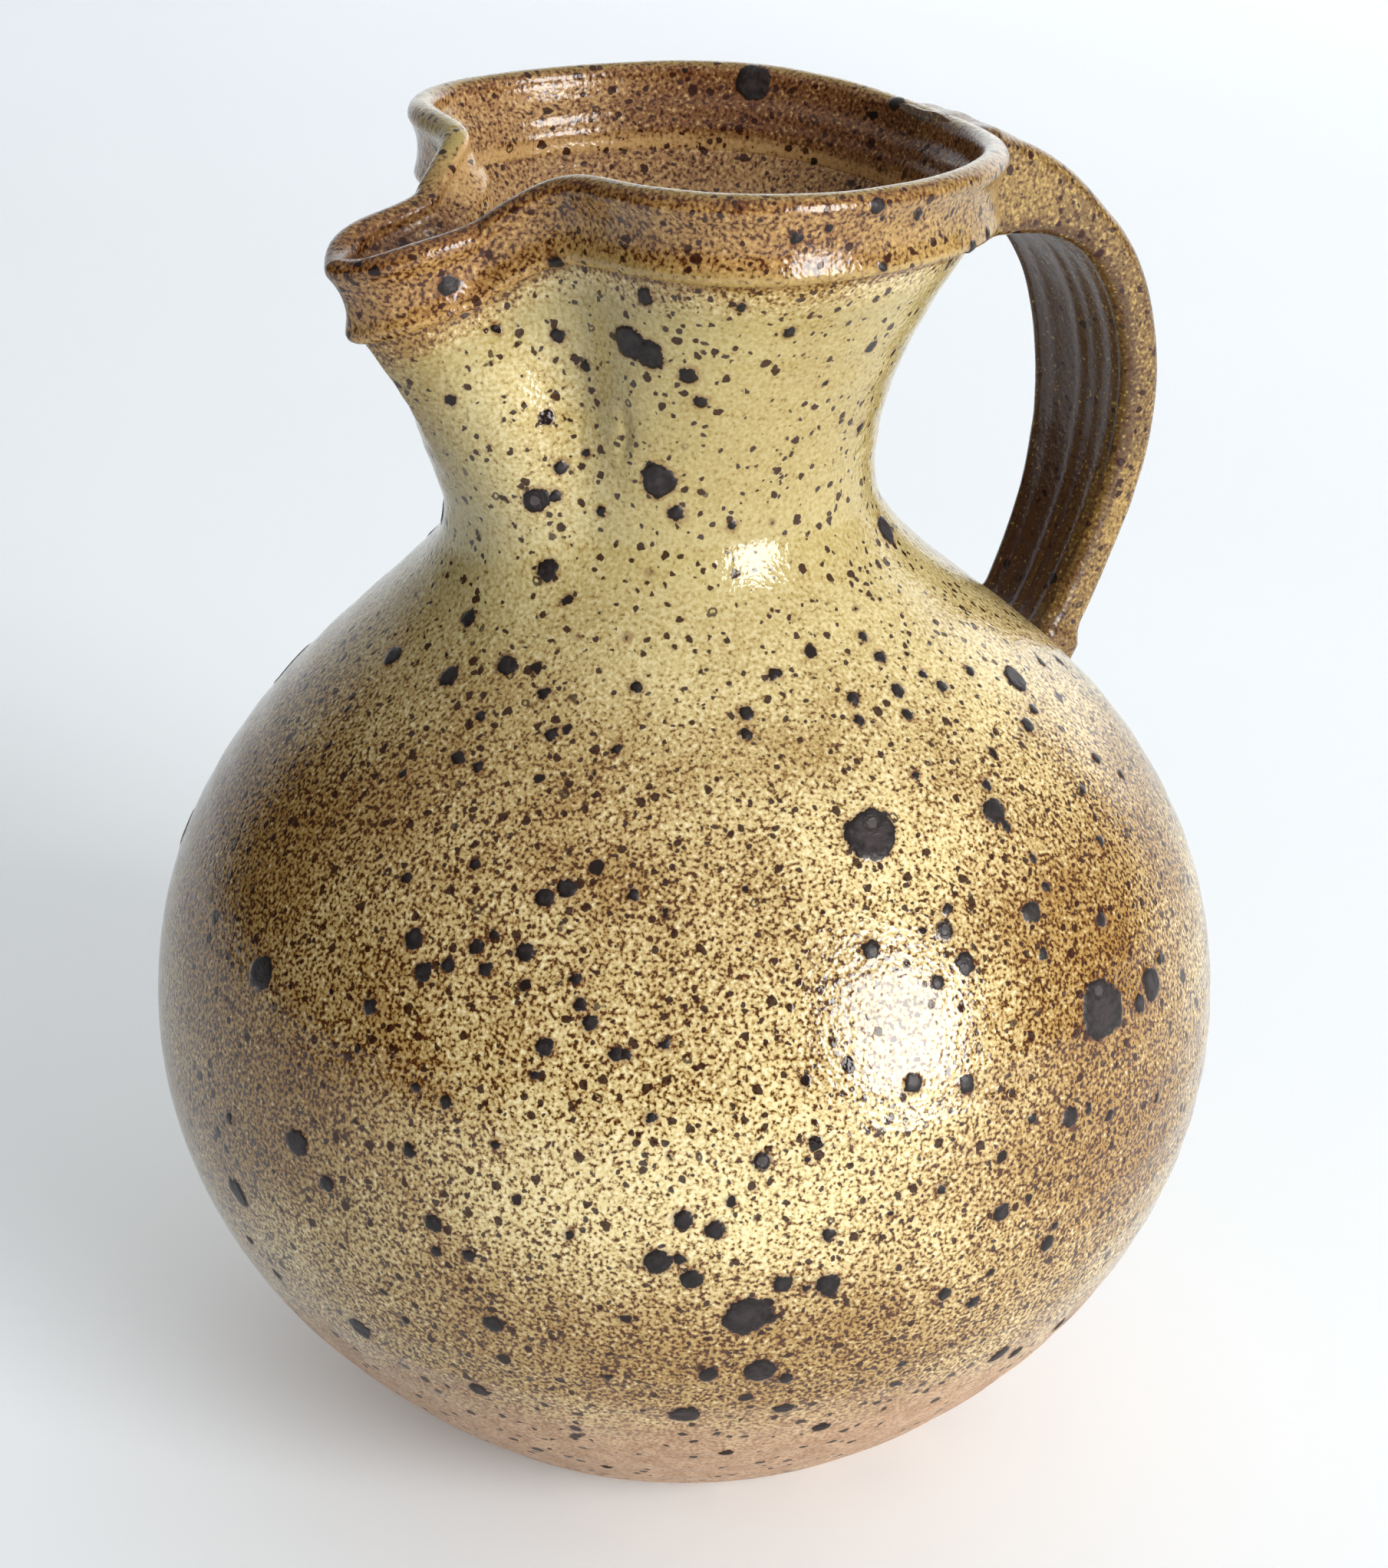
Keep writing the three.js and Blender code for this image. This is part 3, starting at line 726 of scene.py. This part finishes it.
    relief = s.plus(s.noise(1.1, 1.0, 0.5), s.times(fine, 0.35))
    relief = s.plus(relief, s.times(s.most(grit, spots), 0.2))
    relief = s.plus(relief, s.times(s.ramp(edge, 0.2, -0.5), 0.5))
    relief = s.plus(relief, s.minus(s.times(crust_ring, 0.5), pit))
    heights = {"Strength": RELIEF_STRENGTH, "Distance": RELIEF_DEPTH, "Height": relief}
    bump = s.node("ShaderNodeBump", heights).outputs[0]
    shader = s.node("ShaderNodeBsdfPrincipled", {"Base Color": colour, "Roughness": rough, "Normal": bump})
    shader.inputs["IOR"].default_value = GLAZE_INDEX
    dull = s.most(blotch, s.most(grit, spots))
    s.tree.links.new(s.ramp(dull, 0.0, 1.0, 0.5, 0.3), shader.inputs["Specular IOR Level"])
    s.tree.links.new(shader.outputs[0], s.output.inputs[0])
    return s.material


# Colours of each glaze: deep, pale, clear, its crumbs and its flecks
outer_colours = ("#a27f44", "#e6d39a", "#a4935a", "#835b1e", "#f3e8c4")
band_colours = ("#84572a", "#b28c52", "#9e8e52", "#613811", "#c8a66c")
inner_colours = ("#7c522d", "#c79f68", "#c79f68", "#613517", "#cfae78")
strap_colours = ("#3d2614", "#997a3e", "#997a3e", "#56340e", "#b8995c")
outer_glaze = glaze("ochre_salt_glaze", outer_colours, density=0.548, gloss=0.09, foot=True)
band_glaze = glaze("brown_rim_glaze", band_colours, density=0.55, gloss=0.1)
inner_glaze = glaze("inside_glaze", inner_colours, density=0.61, gloss=0.16)
strap_glaze = glaze("handle_glaze", strap_colours, density=0.59, gloss=0.24)

# Body: rows of the outside from the middle of the underside to the neck's upper edge
underside_radii = np.linspace(POLE_RING, FOOT_RADIUS - FOOT_ROUND, 24)[:-1]
underside = np.stack([underside_radii, np.zeros(len(underside_radii))], axis=1)
foot_edge = rounded_foot()
wall_start = np.argmax(lower_line[:, 1] > foot_edge[-1, 1])
belly_line = spread(np.vstack([foot_edge, lower_line[wall_start:], shoulder_line[1:]]), OUTER_STEP)
neck_line = spread(flare_line, OUTER_STEP)
outer_stations = stations_of(np.vstack([underside, belly_line, neck_line[1:]]))
outer_points = place(outer_stations, angles)
outer_normals = grid_normals(outer_points)
waist_row = len(underside) + len(belly_line) - 1

level_of_row = outer_stations[:, 1, None]
on_wall = smooth(level_of_row, 2.0, 8.0)
rings = np.sin(2 * np.pi * (level_of_row + 2.0 * angles[None, :] / np.pi) / RING_PITCH)
rings = rings * RING_HEIGHT * (0.6 + 0.6 * grain(outer_points, 40.0, 11))
swell = UNEVENNESS * grain(outer_points, 55.0, 12) + 0.12 * grain(outer_points, 18.0, 13)
outer_points = outer_points + outer_normals * ((rings + swell) * on_wall)[..., None]
outer_points = outer_points - outer_normals * hollow_field(outer_points, outer_normals)[..., None]

seats = find_seats(outer_points, outer_normals, BLOTCHES)
dice = np.random.default_rng(BACK_SEED)
rows_open = np.arange(len(underside) + 10, len(outer_points))
while len(seats) < len(BLOTCHES) + BACK_BLOTCHES:
    row, column = dice.choice(rows_open), dice.integers(SEGMENTS)
    spot, facing = outer_points[row, column], outer_normals[row, column]
    hidden = facing @ (np.array(camera_place) - spot) < BACK_TURNED
    clear = min(np.linalg.norm(spot - other) for other, _ in seats) > BACK_GAP
    if hidden and clear:
        seats.append((spot, BACK_LEAST + BACK_SPREAD * dice.random() ** BACK_RARENESS))
pits = find_seats(outer_points, outer_normals, [(*pixel, 40) for pixel in PITS])
outer_blotch = blotch_field(outer_points, seats)
outer_pit = pit_field(outer_points, pits)
blister = BLISTER_HEIGHT * smooth(-outer_blotch, -0.3, 0.7)
outer_points = outer_points + outer_normals * blister[..., None]
outer_normals = grid_normals(outer_points)
away = from_spout(angles)[None, :]
spout_brown = 0.5 * fade(away, 12) * smooth(level_of_row, 185, 205)
outer_brown_and_shading = spout_brown + zone_field(outer_points, outer_normals)
outer_brown_and_shading = outer_brown_and_shading + 0.3 * smooth(level_of_row, collar_level - 12, collar_level)
# A thin dark line just under the band: painted shadow below its edge.
outer_brown_and_shading = outer_brown_and_shading + 0.6 * smooth(level_of_row, collar_level - 1.8, collar_level - 0.6)
degrees = np.degrees(angles)[None, :]
# Painted shade on the spout's far flank, browner and less clear; painted light on its near flank through
# the clear field.
throat_shade = fade(degrees - FAR_FLANK, FAR_FLANK_WIDTH) * smooth(level_of_row, 160, 195)
throat_light = fade(degrees - NEAR_FLANK, NEAR_FLANK_WIDTH) * smooth(level_of_row, 150, 170)
throat_light = throat_light * smooth(level_of_row, 205, 190)
outer_brown_and_shading = outer_brown_and_shading + 0.5 * throat_shade
# Less clear glaze under the band, so that the browning and the painted shadow line there show.
under_band = smooth(level_of_row, collar_level - 7, collar_level - 1)
outer_clear = smooth(level_of_row, CLEAR_START, CLEAR_FULL) - 0.85 * under_band
outer_clear = np.clip(outer_clear - 0.8 * throat_shade - 0.4 * throat_light, 0, 1)

# Inside of the body: rows from the neck's upper edge down to the middle of the floor
inner_wall = np.vstack([offset_line(lower_line, -WALL), offset_line(shoulder_line, -WALL)[1:]])
inner_wall = inner_wall[inner_wall[:, 1] > FLOOR_THICKNESS + 0.5]
floor_radii = np.linspace(POLE_RING, inner_wall[0, 0] - 1, 20)
inner_floor = np.stack([floor_radii, np.full(len(floor_radii), FLOOR_THICKNESS)], axis=1)
inner_belly = spread(np.vstack([inner_floor, inner_wall]), INNER_STEP)
inner_neck = spread(flare_line, INNER_STEP / 2)
inner_stations = np.vstack([stations_of(inner_belly), stations_of(inner_neck[1:], -WALL)])[::-1]
inner_points = place(inner_stations, angles)
inner_normals = grid_normals(inner_points)
inner_level = inner_stations[:, 1, None]
inner_rings = np.sin(2 * np.pi * (inner_level + 2.6 * angles[None, :] / np.pi) / INNER_RING_PITCH)
inner_height = INNER_RING_HEIGHT * inner_rings * smooth(inner_level, 12, 20)
inner_height = inner_height * smooth(inner_level, collar_level, 200)
ledge = LEDGE_DEPTH * smooth(inner_level, LEDGE_LEVEL - 1, LEDGE_LEVEL + 1)
inner_height = inner_height - ledge * smooth(inner_level, collar_level, LEDGE_LEVEL)
inner_points = inner_points + inner_normals * inner_height[..., None]
inner_normals = grid_normals(inner_points)
inner_waist = len(inner_neck) - 1
inner_brown = 0.2 + 0.5 * smooth(inner_level, 195, 150) + 0 * away


def shell(name, outside, inside, pole):
    """A closed wall from a stretch of outside rows and one of inside rows; a pole closes it on the axis."""
    out_rows = outside.stop - outside.start
    in_rows = inside.stop - inside.start
    points = [outer_points[outside].reshape(-1, 3), inner_points[inside].reshape(-1, 3)]
    normals = [outer_normals[outside].reshape(-1, 3), inner_normals[inside].reshape(-1, 3)]
    fields = {}
    unmarked = inner_points[..., 0] * 0 + BLOTCH_RANGE
    sources = (
        ("blotch", outer_blotch, unmarked),
        ("pit", outer_pit, unmarked),
        ("brown", outer_brown_and_shading, inner_brown),
        ("clear", outer_clear, 0 * inner_brown),
    )
    for field, outer, inner in sources:
        fields[field] = [outer[outside].ravel(), inner[inside].ravel()]
    out_quads = grid_quads(out_rows, SEGMENTS)
    in_quads = grid_quads(in_rows, SEGMENTS, out_rows * SEGMENTS)
    joint = bridge_quads((out_rows - 1) * SEGMENTS, out_rows * SEGMENTS, SEGMENTS)
    faces = [out_quads, joint, in_quads]
    last = (out_rows + in_rows - 1) * SEGMENTS
    count = (out_rows + in_rows) * SEGMENTS
    if pole:
        points.append([[0, 0, 0], [0, 0, FLOOR_THICKNESS]])
        normals.append([[0, 0, -1], [0, 0, 1]])
        for field, rest in (("blotch", BLOTCH_RANGE), ("pit", BLOTCH_RANGE), ("brown", 0), ("clear", 0)):
            fields[field].append(np.full(2, rest))
        faces += [fan(count, 0, SEGMENTS, True), fan(count + 1, last, SEGMENTS, False)]
    else:
        faces.append(bridge_quads(last, 0, SEGMENTS))
    ends = [np.full(len(group), k) for k, group in enumerate(faces[3:])]
    choice = np.concatenate([np.zeros(len(out_quads)), np.ones(len(joint) + len(in_quads)), *ends])
    glazes = [outer_glaze, inner_glaze]
    layers = {field: np.concatenate(parts) for field, parts in fields.items()}
    return make_piece(name, np.vstack(points), faces, glazes, choice, np.vstack(normals), **layers)


belly = shell("belly_shell", slice(0, waist_row + 1), slice(inner_waist, len(inner_points)), True)
neck = shell("neck_shell", slice(waist_row, len(outer_points)), slice(0, inner_waist + 1), False)
dress(belly, "ochre_glaze", "belly")
dress(neck, "ochre_glaze", "neck", "neck_slip", "rim_slip")


# Rim collar: one closed outline swept round the flare, as offset and level
def collar_outline():
    lip_radius = LIP_THICKNESS / 2
    lip_middle = np.array([LIP_STEP - lip_radius, rim_level - lip_radius])
    edge_middle = np.array([COLLAR_STEP - COLLAR_ROUND, collar_level + COLLAR_ROUND])
    under = np.array([[-1.0, collar_level + 0.5], [0.6, collar_level + 0.1]])
    edge = np.array([edge_middle + polar(COLLAR_ROUND, a) for a in np.linspace(-90, 0, 8)])
    lip = np.array([lip_middle + polar(lip_radius, a) for a in np.linspace(-12, 190, 26)])
    hollow = (COLLAR_STEP + LIP_STEP) / 2 - COLLAR_HOLLOW
    face = bezier([edge[-1], (hollow - 0.5, mid_collar - 2), (hollow - 0.6, mid_collar + 1), lip[0]],
                  np.linspace(0, 1, 14))
    inner_offset = -WALL - 0.2
    inner_curve = [
        lip[-1],
        lip[-1] - np.array([0.4, 3]),
        (inner_offset, mid_collar),
        (inner_offset, collar_level - 0.6),
    ]
    inner = bezier(inner_curve, np.linspace(0, 1, 12))
    return spread(np.vstack([under, edge, face[1:-1], lip, inner[1:]]), OUTER_STEP)


outline = collar_outline()
band_stations = np.column_stack([np.full(len(outline), FLARE_RADIUS), outline[:, 1], outline[:, 0]])
band_points = place(band_stations, angles)
band_normals = grid_normals(band_points)
band_offset = outline[:, 0, None]
band_level = outline[:, 1, None]
band_swell = 0.25 * grain(band_points, 24.0, 21) + 0.12 * grain(band_points, 8.0, 22)
band_swell = band_swell * smooth(band_offset, -WALL, -WALL + 1.5)
band_points = band_points + band_normals * band_swell[..., None]
inside_face = smooth(band_offset, 0.5, -2.0) * smooth(band_level, collar_level, collar_level + 2)
band_rings = np.sin(2 * np.pi * (band_level + 1.4 * angles[None, :] / np.pi) / INNER_RING_PITCH)
band_points = band_points + band_normals * (INNER_RING_HEIGHT * band_rings * inside_face)[..., None]
band_seats = find_seats(band_points, band_normals, RIM_BLOTCHES)
inner_seats = find_seats(band_points, band_normals, INNER_BLOTCHES)
band_blotch = blotch_field(band_points, band_seats + inner_seats)
band_blister = BAND_BLISTER_HEIGHT * smooth(-band_blotch, -0.5, 1.0)
band_points = band_points + band_normals * band_blister[..., None]

# Colour of the band: browner at the lip, pale beyond the spout; painted shade in the spout's channel and on
# the inside wall by the handle; pale glaze with a painted highlight at the low edge and along the lip's
# crest
lip_edge = fade(band_level - rim_level, 1.8)
# Pale glaze over the band's low edge, with a painted highlight along it.
low_edge_glaze_and_highlight = fade(band_level - collar_level - 1.0, 1.2)
pale_lip = fade(degrees - PALE_LIP, PALE_LIP_WIDTH)
# Pale line along the lip's crest: pale glaze and a painted highlight.
crest_glaze_and_highlight = fade(band_level - rim_level, 0.7) * smooth(band_offset, 3.2, 2.0)
band_brown_and_shading = 0.15 + 0.4 * lip_edge * (1 - pale_lip) + 0.15 * fade(away, 22)
band_brown_and_shading = band_brown_and_shading - 0.3 * low_edge_glaze_and_highlight - 0.3 * pale_lip
band_brown_and_shading = band_brown_and_shading + 0.4 * fade(degrees - WARM_BAND, WARM_BAND_WIDTH) * (1 - inside_face)
# Painted shade in the spout's channel, over its browner glaze, and on the inside wall turned from the light
# by the handle.
painted_inner_shade = 0.8 * fade(away, 15) + 0.3 * fade(away, 32) + 0.5 * smooth(away, 90, 150)
band_brown_and_shading = band_brown_and_shading + inside_face * painted_inner_shade
pale_edge = pale_lip * fade(band_level - rim_level, 4.0)
band_clear = np.clip(pale_edge + 0.8 * crest_glaze_and_highlight * smooth(away, 20, 34), 0, 1)
band_clear = np.maximum(band_clear, 0.6 * low_edge_glaze_and_highlight * smooth(away, 30, 45))
band_clear = np.maximum(band_clear, 0.45 * smooth(degrees, 250, 300) * (1 - inside_face))
band_faces = [grid_quads(len(outline), SEGMENTS), bridge_quads((len(outline) - 1) * SEGMENTS, 0, SEGMENTS)]
past_crest = np.arange(len(outline) - 1) > np.argmax(outline[:, 1]) + 2
band_choice = np.concatenate([np.repeat(past_crest, SEGMENTS), np.zeros(SEGMENTS)])
collar = make_piece(
    "rim_band",
    band_points.reshape(-1, 3),
    band_faces,
    [band_glaze, inner_glaze],
    band_choice,
    blotch=band_blotch,
    pit=0 * band_blotch + BLOTCH_RANGE,
    brown=band_brown_and_shading + 0 * band_blotch,
    clear=band_clear,
)
dress(collar, "brown_glaze", "rim_collar")


# Handle: a strap swept along its middle line in the XZ plane
def radius_at(line, level):
    return np.interp(level, line[:, 1], line[:, 0])


def handle_line():
    """Middle line of the strap as x and level, from inside the rim band to inside the shoulder."""
    face = place(np.array([[FLARE_RADIUS, mid_collar, COLLAR_STEP]]), np.array([0.0]))[0, 0]
    root_top = bent_level(rim_level, 0.0) - ROOT_BELOW_RIM - STRAP_CROWN
    root = np.array([face[0], root_top - ROOT_THICKNESS / 2])
    start = root - polar(HANDLE_EMBED, -HANDLE_FALL)
    foot_level = waist_level - HANDLE_FOOT_DROP
    seat = place(np.array([[radius_at(shoulder_line, foot_level), foot_level, 0.0]]), np.array([0.0]))[0, 0]
    tail = np.array([seat[0], seat[2]])
    bulge = np.array([tail[0] + HANDLE_BULGE, (root[1] + tail[1]) / 2])
    upper_bow = [
        start,
        start + polar(HANDLE_TOP_PULL, -HANDLE_FALL),
        bulge + np.array([0, HANDLE_UPPER_PULL]),
        bulge,
    ]
    lower_bow = [
        bulge,
        bulge - np.array([0, HANDLE_LOWER_PULL]),
        tail + polar(HANDLE_FOOT_PULL, HANDLE_FOOT_ANGLE),
        tail - polar(HANDLE_EMBED, HANDLE_FOOT_ANGLE),
    ]
    steps = np.linspace(0, 1, 150)
    upper = bezier(upper_bow, steps)
    lower = bezier(lower_bow, steps)
    return spread(np.vstack([upper, lower[1:]]), STRAP_STEP)


def strap_section(width, thickness):
    """Outline across the strap, x across it and y towards its back, and how brown each point is."""
    half_width = width / 2
    half_thickness = thickness / 2
    round_off = min(EDGE_ROUND, half_thickness)
    flat = half_width - round_off
    across = np.linspace(0, 1, 65)
    ridges = sum(height * fade(2 * across - 1 - spot, RIDGE_WIDTH) for spot, height in RIDGES)
    hollow = RIDGE_DEPTH * (1 - ridges)
    inner = np.stack([mix(-flat, flat, across), -half_thickness + hollow], axis=1)
    back_across = np.linspace(0, 1, 33)
    crown = STRAP_CROWN * np.sin(np.pi * back_across) - 0.25 * (1 - np.cos(6 * np.pi * back_across)) / 2
    back = np.stack([mix(flat, -flat, back_across), half_thickness + crown], axis=1)

    def corner(side, lift, first):
        middle = np.array([side * flat, lift * (half_thickness - round_off)])
        return np.array([middle + polar(round_off, first + a) for a in np.linspace(0, 90, 8)[1:-1]])

    rise = np.linspace(-1, 1, 7) * (half_thickness - round_off)
    far_side = np.stack([np.full(len(rise), half_width), rise], axis=1)
    near_side = far_side * np.array([-1, -1])
    inner_mark = mix(0.5, 1.0, smooth(across, 0.0, 0.5))
    groups = (
        (inner, inner_mark),
        (corner(1, -1, 270), 0.55),
        (far_side, 0.15),
        (corner(1, 1, 0), 0.22),
        (back, 0.28),
        (corner(-1, 1, 90), 0.22),
        (near_side, 0.15),
        (corner(-1, -1, 180), 0.4),
    )
    marks = [np.broadcast_to(mark, len(spots)) for spots, mark in groups]
    return np.vstack([spots for spots, _ in groups]), np.concatenate(marks)


def strap_rows(first, last, growth):
    """Rows of the strap from one length along it to another, or to its end; growth swells each row."""
    line = handle_line()
    tangent = np.gradient(line, axis=0)
    tangent /= np.linalg.norm(tangent, axis=1, keepdims=True)
    along = np.concatenate([[0], np.cumsum(np.linalg.norm(np.diff(line, axis=0), axis=1))])
    end = last if last > 0 else along[-1]
    picked = np.where((along >= first) & (along <= end))[0]
    rows, dark = [], []
    for index in picked:
        from_root = along[index] - HANDLE_EMBED
        from_tail = along[-1] - along[index] - HANDLE_EMBED
        root = 1 - smooth(from_root, 0, ROOT_TAPER)
        tail = 1 - smooth(from_tail, 0, TAIL_TAPER)
        swell = growth(from_root, from_tail)
        width = STRAP_WIDTH + (ROOT_WIDTH - STRAP_WIDTH) * root + (TAIL_WIDTH - STRAP_WIDTH) * tail
        width = width + 2 * swell
        thickness = mix(STRAP_THICKNESS, ROOT_THICKNESS, root) + 2 * swell
        section, mark = strap_section(width, thickness)
        back = np.array([-tangent[index, 1], tangent[index, 0]])
        spots = line[index] + section[:, 1, None] * back
        rows.append(np.stack([spots[:, 0], section[:, 0], spots[:, 1]], axis=1))
        dark.append(mark)
    return np.array(rows), np.array(dark)


def strap_piece(name, first, last, growth):
    """A closed stretch of the strap with slightly uneven faces."""
    rows, dark = strap_rows(first, last, growth)
    count, columns = rows.shape[:2]
    around = (np.roll(rows, -1, axis=1) - np.roll(rows, 1, axis=1)) / 2
    normal = np.cross(np.gradient(rows, axis=0), around)
    normal /= np.linalg.norm(normal, axis=2, keepdims=True)
    rows = rows + normal * (0.18 * grain(rows, 14.0, 31) + 0.08 * grain(rows, 4.0, 32))[..., None]
    points = np.vstack([rows.reshape(-1, 3), rows[0].mean(axis=0)[None], rows[-1].mean(axis=0)[None]])
    quads = grid_quads(count, columns)[:, ::-1]
    total = count * columns
    faces = [quads, fan(total, 0, columns, False), fan(total + 1, total - columns, columns, True)]
    brown = np.concatenate([dark.ravel(), [0, 0]])
    blotch = blotch_field(points, find_seats(rows, normal, HANDLE_BLOTCHES))
    layers = {"blotch": blotch, "pit": 0 * brown + BLOTCH_RANGE, "brown": brown, "clear": 0 * brown}
    return make_piece(name, points, faces, [strap_glaze], **layers)


handle = strap_piece("strap_handle", 0.0, 0.0, lambda from_root, from_tail: 0.0)
dress(handle, "brown_glaze", "handle")


def fillet(reach, height):
    """Growth that swells towards the joint like a smeared fillet."""
    return lambda near: height * max(0.0, 1 - max(near, 0.0) / reach) ** 2.2


upper_fillet, lower_fillet = fillet(7.0, 1.2), fillet(5.0, 1.0)
upper_lute = strap_piece("upper_lute_fillet", 0.0, 13.0, lambda root, tail: upper_fillet(root - 1) - 0.05)
lower_lute = strap_piece("lower_lute_fillet", 100.0, 0.0, lambda root, tail: lower_fillet(tail - 2) - 0.05)
dress(upper_lute, "brown_glaze", "handle_upper_lute")
dress(lower_lute, "brown_glaze", "handle_lower_lute")


# Stage: a pale floor that sweeps up behind, a window-like light and a soft surround
def backdrop():
    """Paper that lies flat, bends up behind the part and glows softly towards its top and right."""
    front = -3.0
    flat = 1.6
    rise = 2.2
    radius = 0.7
    half = 3.0
    turns_up = np.linspace(0, math.pi / 2, 16)
    arc = [(flat + radius * math.sin(a), radius * (1 - math.cos(a))) for a in turns_up]
    line = [(front, 0.0), *arc, (flat + radius, rise)]
    ahead = np.array(camera_forward)[:2] / np.linalg.norm(np.array(camera_forward)[:2])
    beside = np.array([ahead[1], -ahead[0]])
    rows = [[(*(ahead * far + beside * side), up) for side in (-half, half)] for far, up in line]
    points = [point for row in rows for point in row]
    faces = [(2 * k, 2 * k + 1, 2 * k + 3, 2 * k + 2) for k in range(len(rows) - 1)]
    mesh = bpy.data.meshes.new("floor")
    mesh.from_pydata(points, [], faces)
    mesh.polygons.foreach_set("use_smooth", np.ones(len(faces), bool))
    s = Shader("pale_paper")
    tone = s.blend(s.noise(300, 2.0), paint("#e9eff5"), paint("#eff5fb"))
    aside = s.node("ShaderNodeVectorMath", {0: s.place, 1: (*beside, 0.0)}, operation="DOT_PRODUCT")
    side = aside.outputs["Value"]
    climb = s.ramp(s.height(), 0.0, 0.4, 0.16, 1.05)
    glow = s.times(climb, s.ramp(side, -0.6, 0.6, 0.62, 1.1))
    glow = s.times(glow, s.ramp(side, -1.5, -0.75, 0.1, 1.0))
    sockets = {"Base Color": tone, "Roughness": 0.85, "Emission Strength": glow}
    shader = s.node("ShaderNodeBsdfPrincipled", sockets)
    shader.inputs["Emission Color"].default_value = (1.0, 0.995, 0.985, 1.0)
    s.tree.links.new(shader.outputs[0], s.output.inputs[0])
    mesh.materials.append(s.material)
    floor = bpy.data.objects.new("floor", mesh)
    bpy.context.scene.collection.objects.link(floor)


def area_light(name, direction, target, distance, width, height, power, colour):
    data = bpy.data.lights.new(name, "AREA")
    data.shape = "ELLIPSE"
    data.size, data.size_y = width, height
    data.energy = power
    data.color = colour
    lamp = bpy.data.objects.new(name, data)
    target = Vector(target)
    lamp.location = target + Vector(direction).normalized() * distance
    lamp.rotation_euler = (target - lamp.location).to_track_quat("-Z", "Y").to_euler()
    bpy.context.scene.collection.objects.link(lamp)


backdrop()
area_light(
    "window",
    direction=(0.22, -0.93, 0.28),
    target=(0, 0, 0.11),
    distance=2.6,
    width=1.28,
    height=1.86,
    power=76,
    colour=(1.0, 0.99, 0.975),
)


def surround():
    """A soft surround, brighter on the window's side and above than on the far left."""
    world = bpy.data.worlds.new("surround")
    world.use_nodes = True
    tree = world.node_tree
    aim = (camera_right * 0.35 - camera_forward * 0.1 + Vector((0, 0, 0.93))).normalized()
    coords = tree.nodes.new("ShaderNodeTexCoord")
    facing = tree.nodes.new("ShaderNodeVectorMath")
    facing.operation = "DOT_PRODUCT"
    facing.inputs[1].default_value = aim
    tree.links.new(coords.outputs["Generated"], facing.inputs[0])
    strength = tree.nodes.new("ShaderNodeMapRange")
    for key, value in (("From Min", 0.0), ("From Max", 1.0), ("To Min", 0.05), ("To Max", 0.66)):
        strength.inputs[key].default_value = value
    tree.links.new(facing.outputs["Value"], strength.inputs["Value"])
    shade = tree.nodes["Background"]
    shade.inputs["Color"].default_value = (1.0, 1.0, 0.98, 1.0)
    tree.links.new(strength.outputs["Result"], shade.inputs["Strength"])
    bpy.context.scene.world = world


surround()
bpy.context.scene.view_settings.view_transform = "Standard"

lens = bpy.data.cameras.new("camera")
lens.sensor_fit = "HORIZONTAL"
lens.sensor_width = 36.0
lens.lens = FOCAL_PIXELS * lens.sensor_width / FRAME_WIDTH
lens.clip_start = 0.01
lens.clip_end = 20
camera = bpy.data.objects.new("camera", lens)
axes = Matrix((camera_right, -camera_down, -camera_forward)).transposed().to_4x4()
camera.matrix_world = Matrix.Translation(camera_place * MM) @ axes
bpy.context.scene.collection.objects.link(camera)
bpy.context.scene.camera = camera
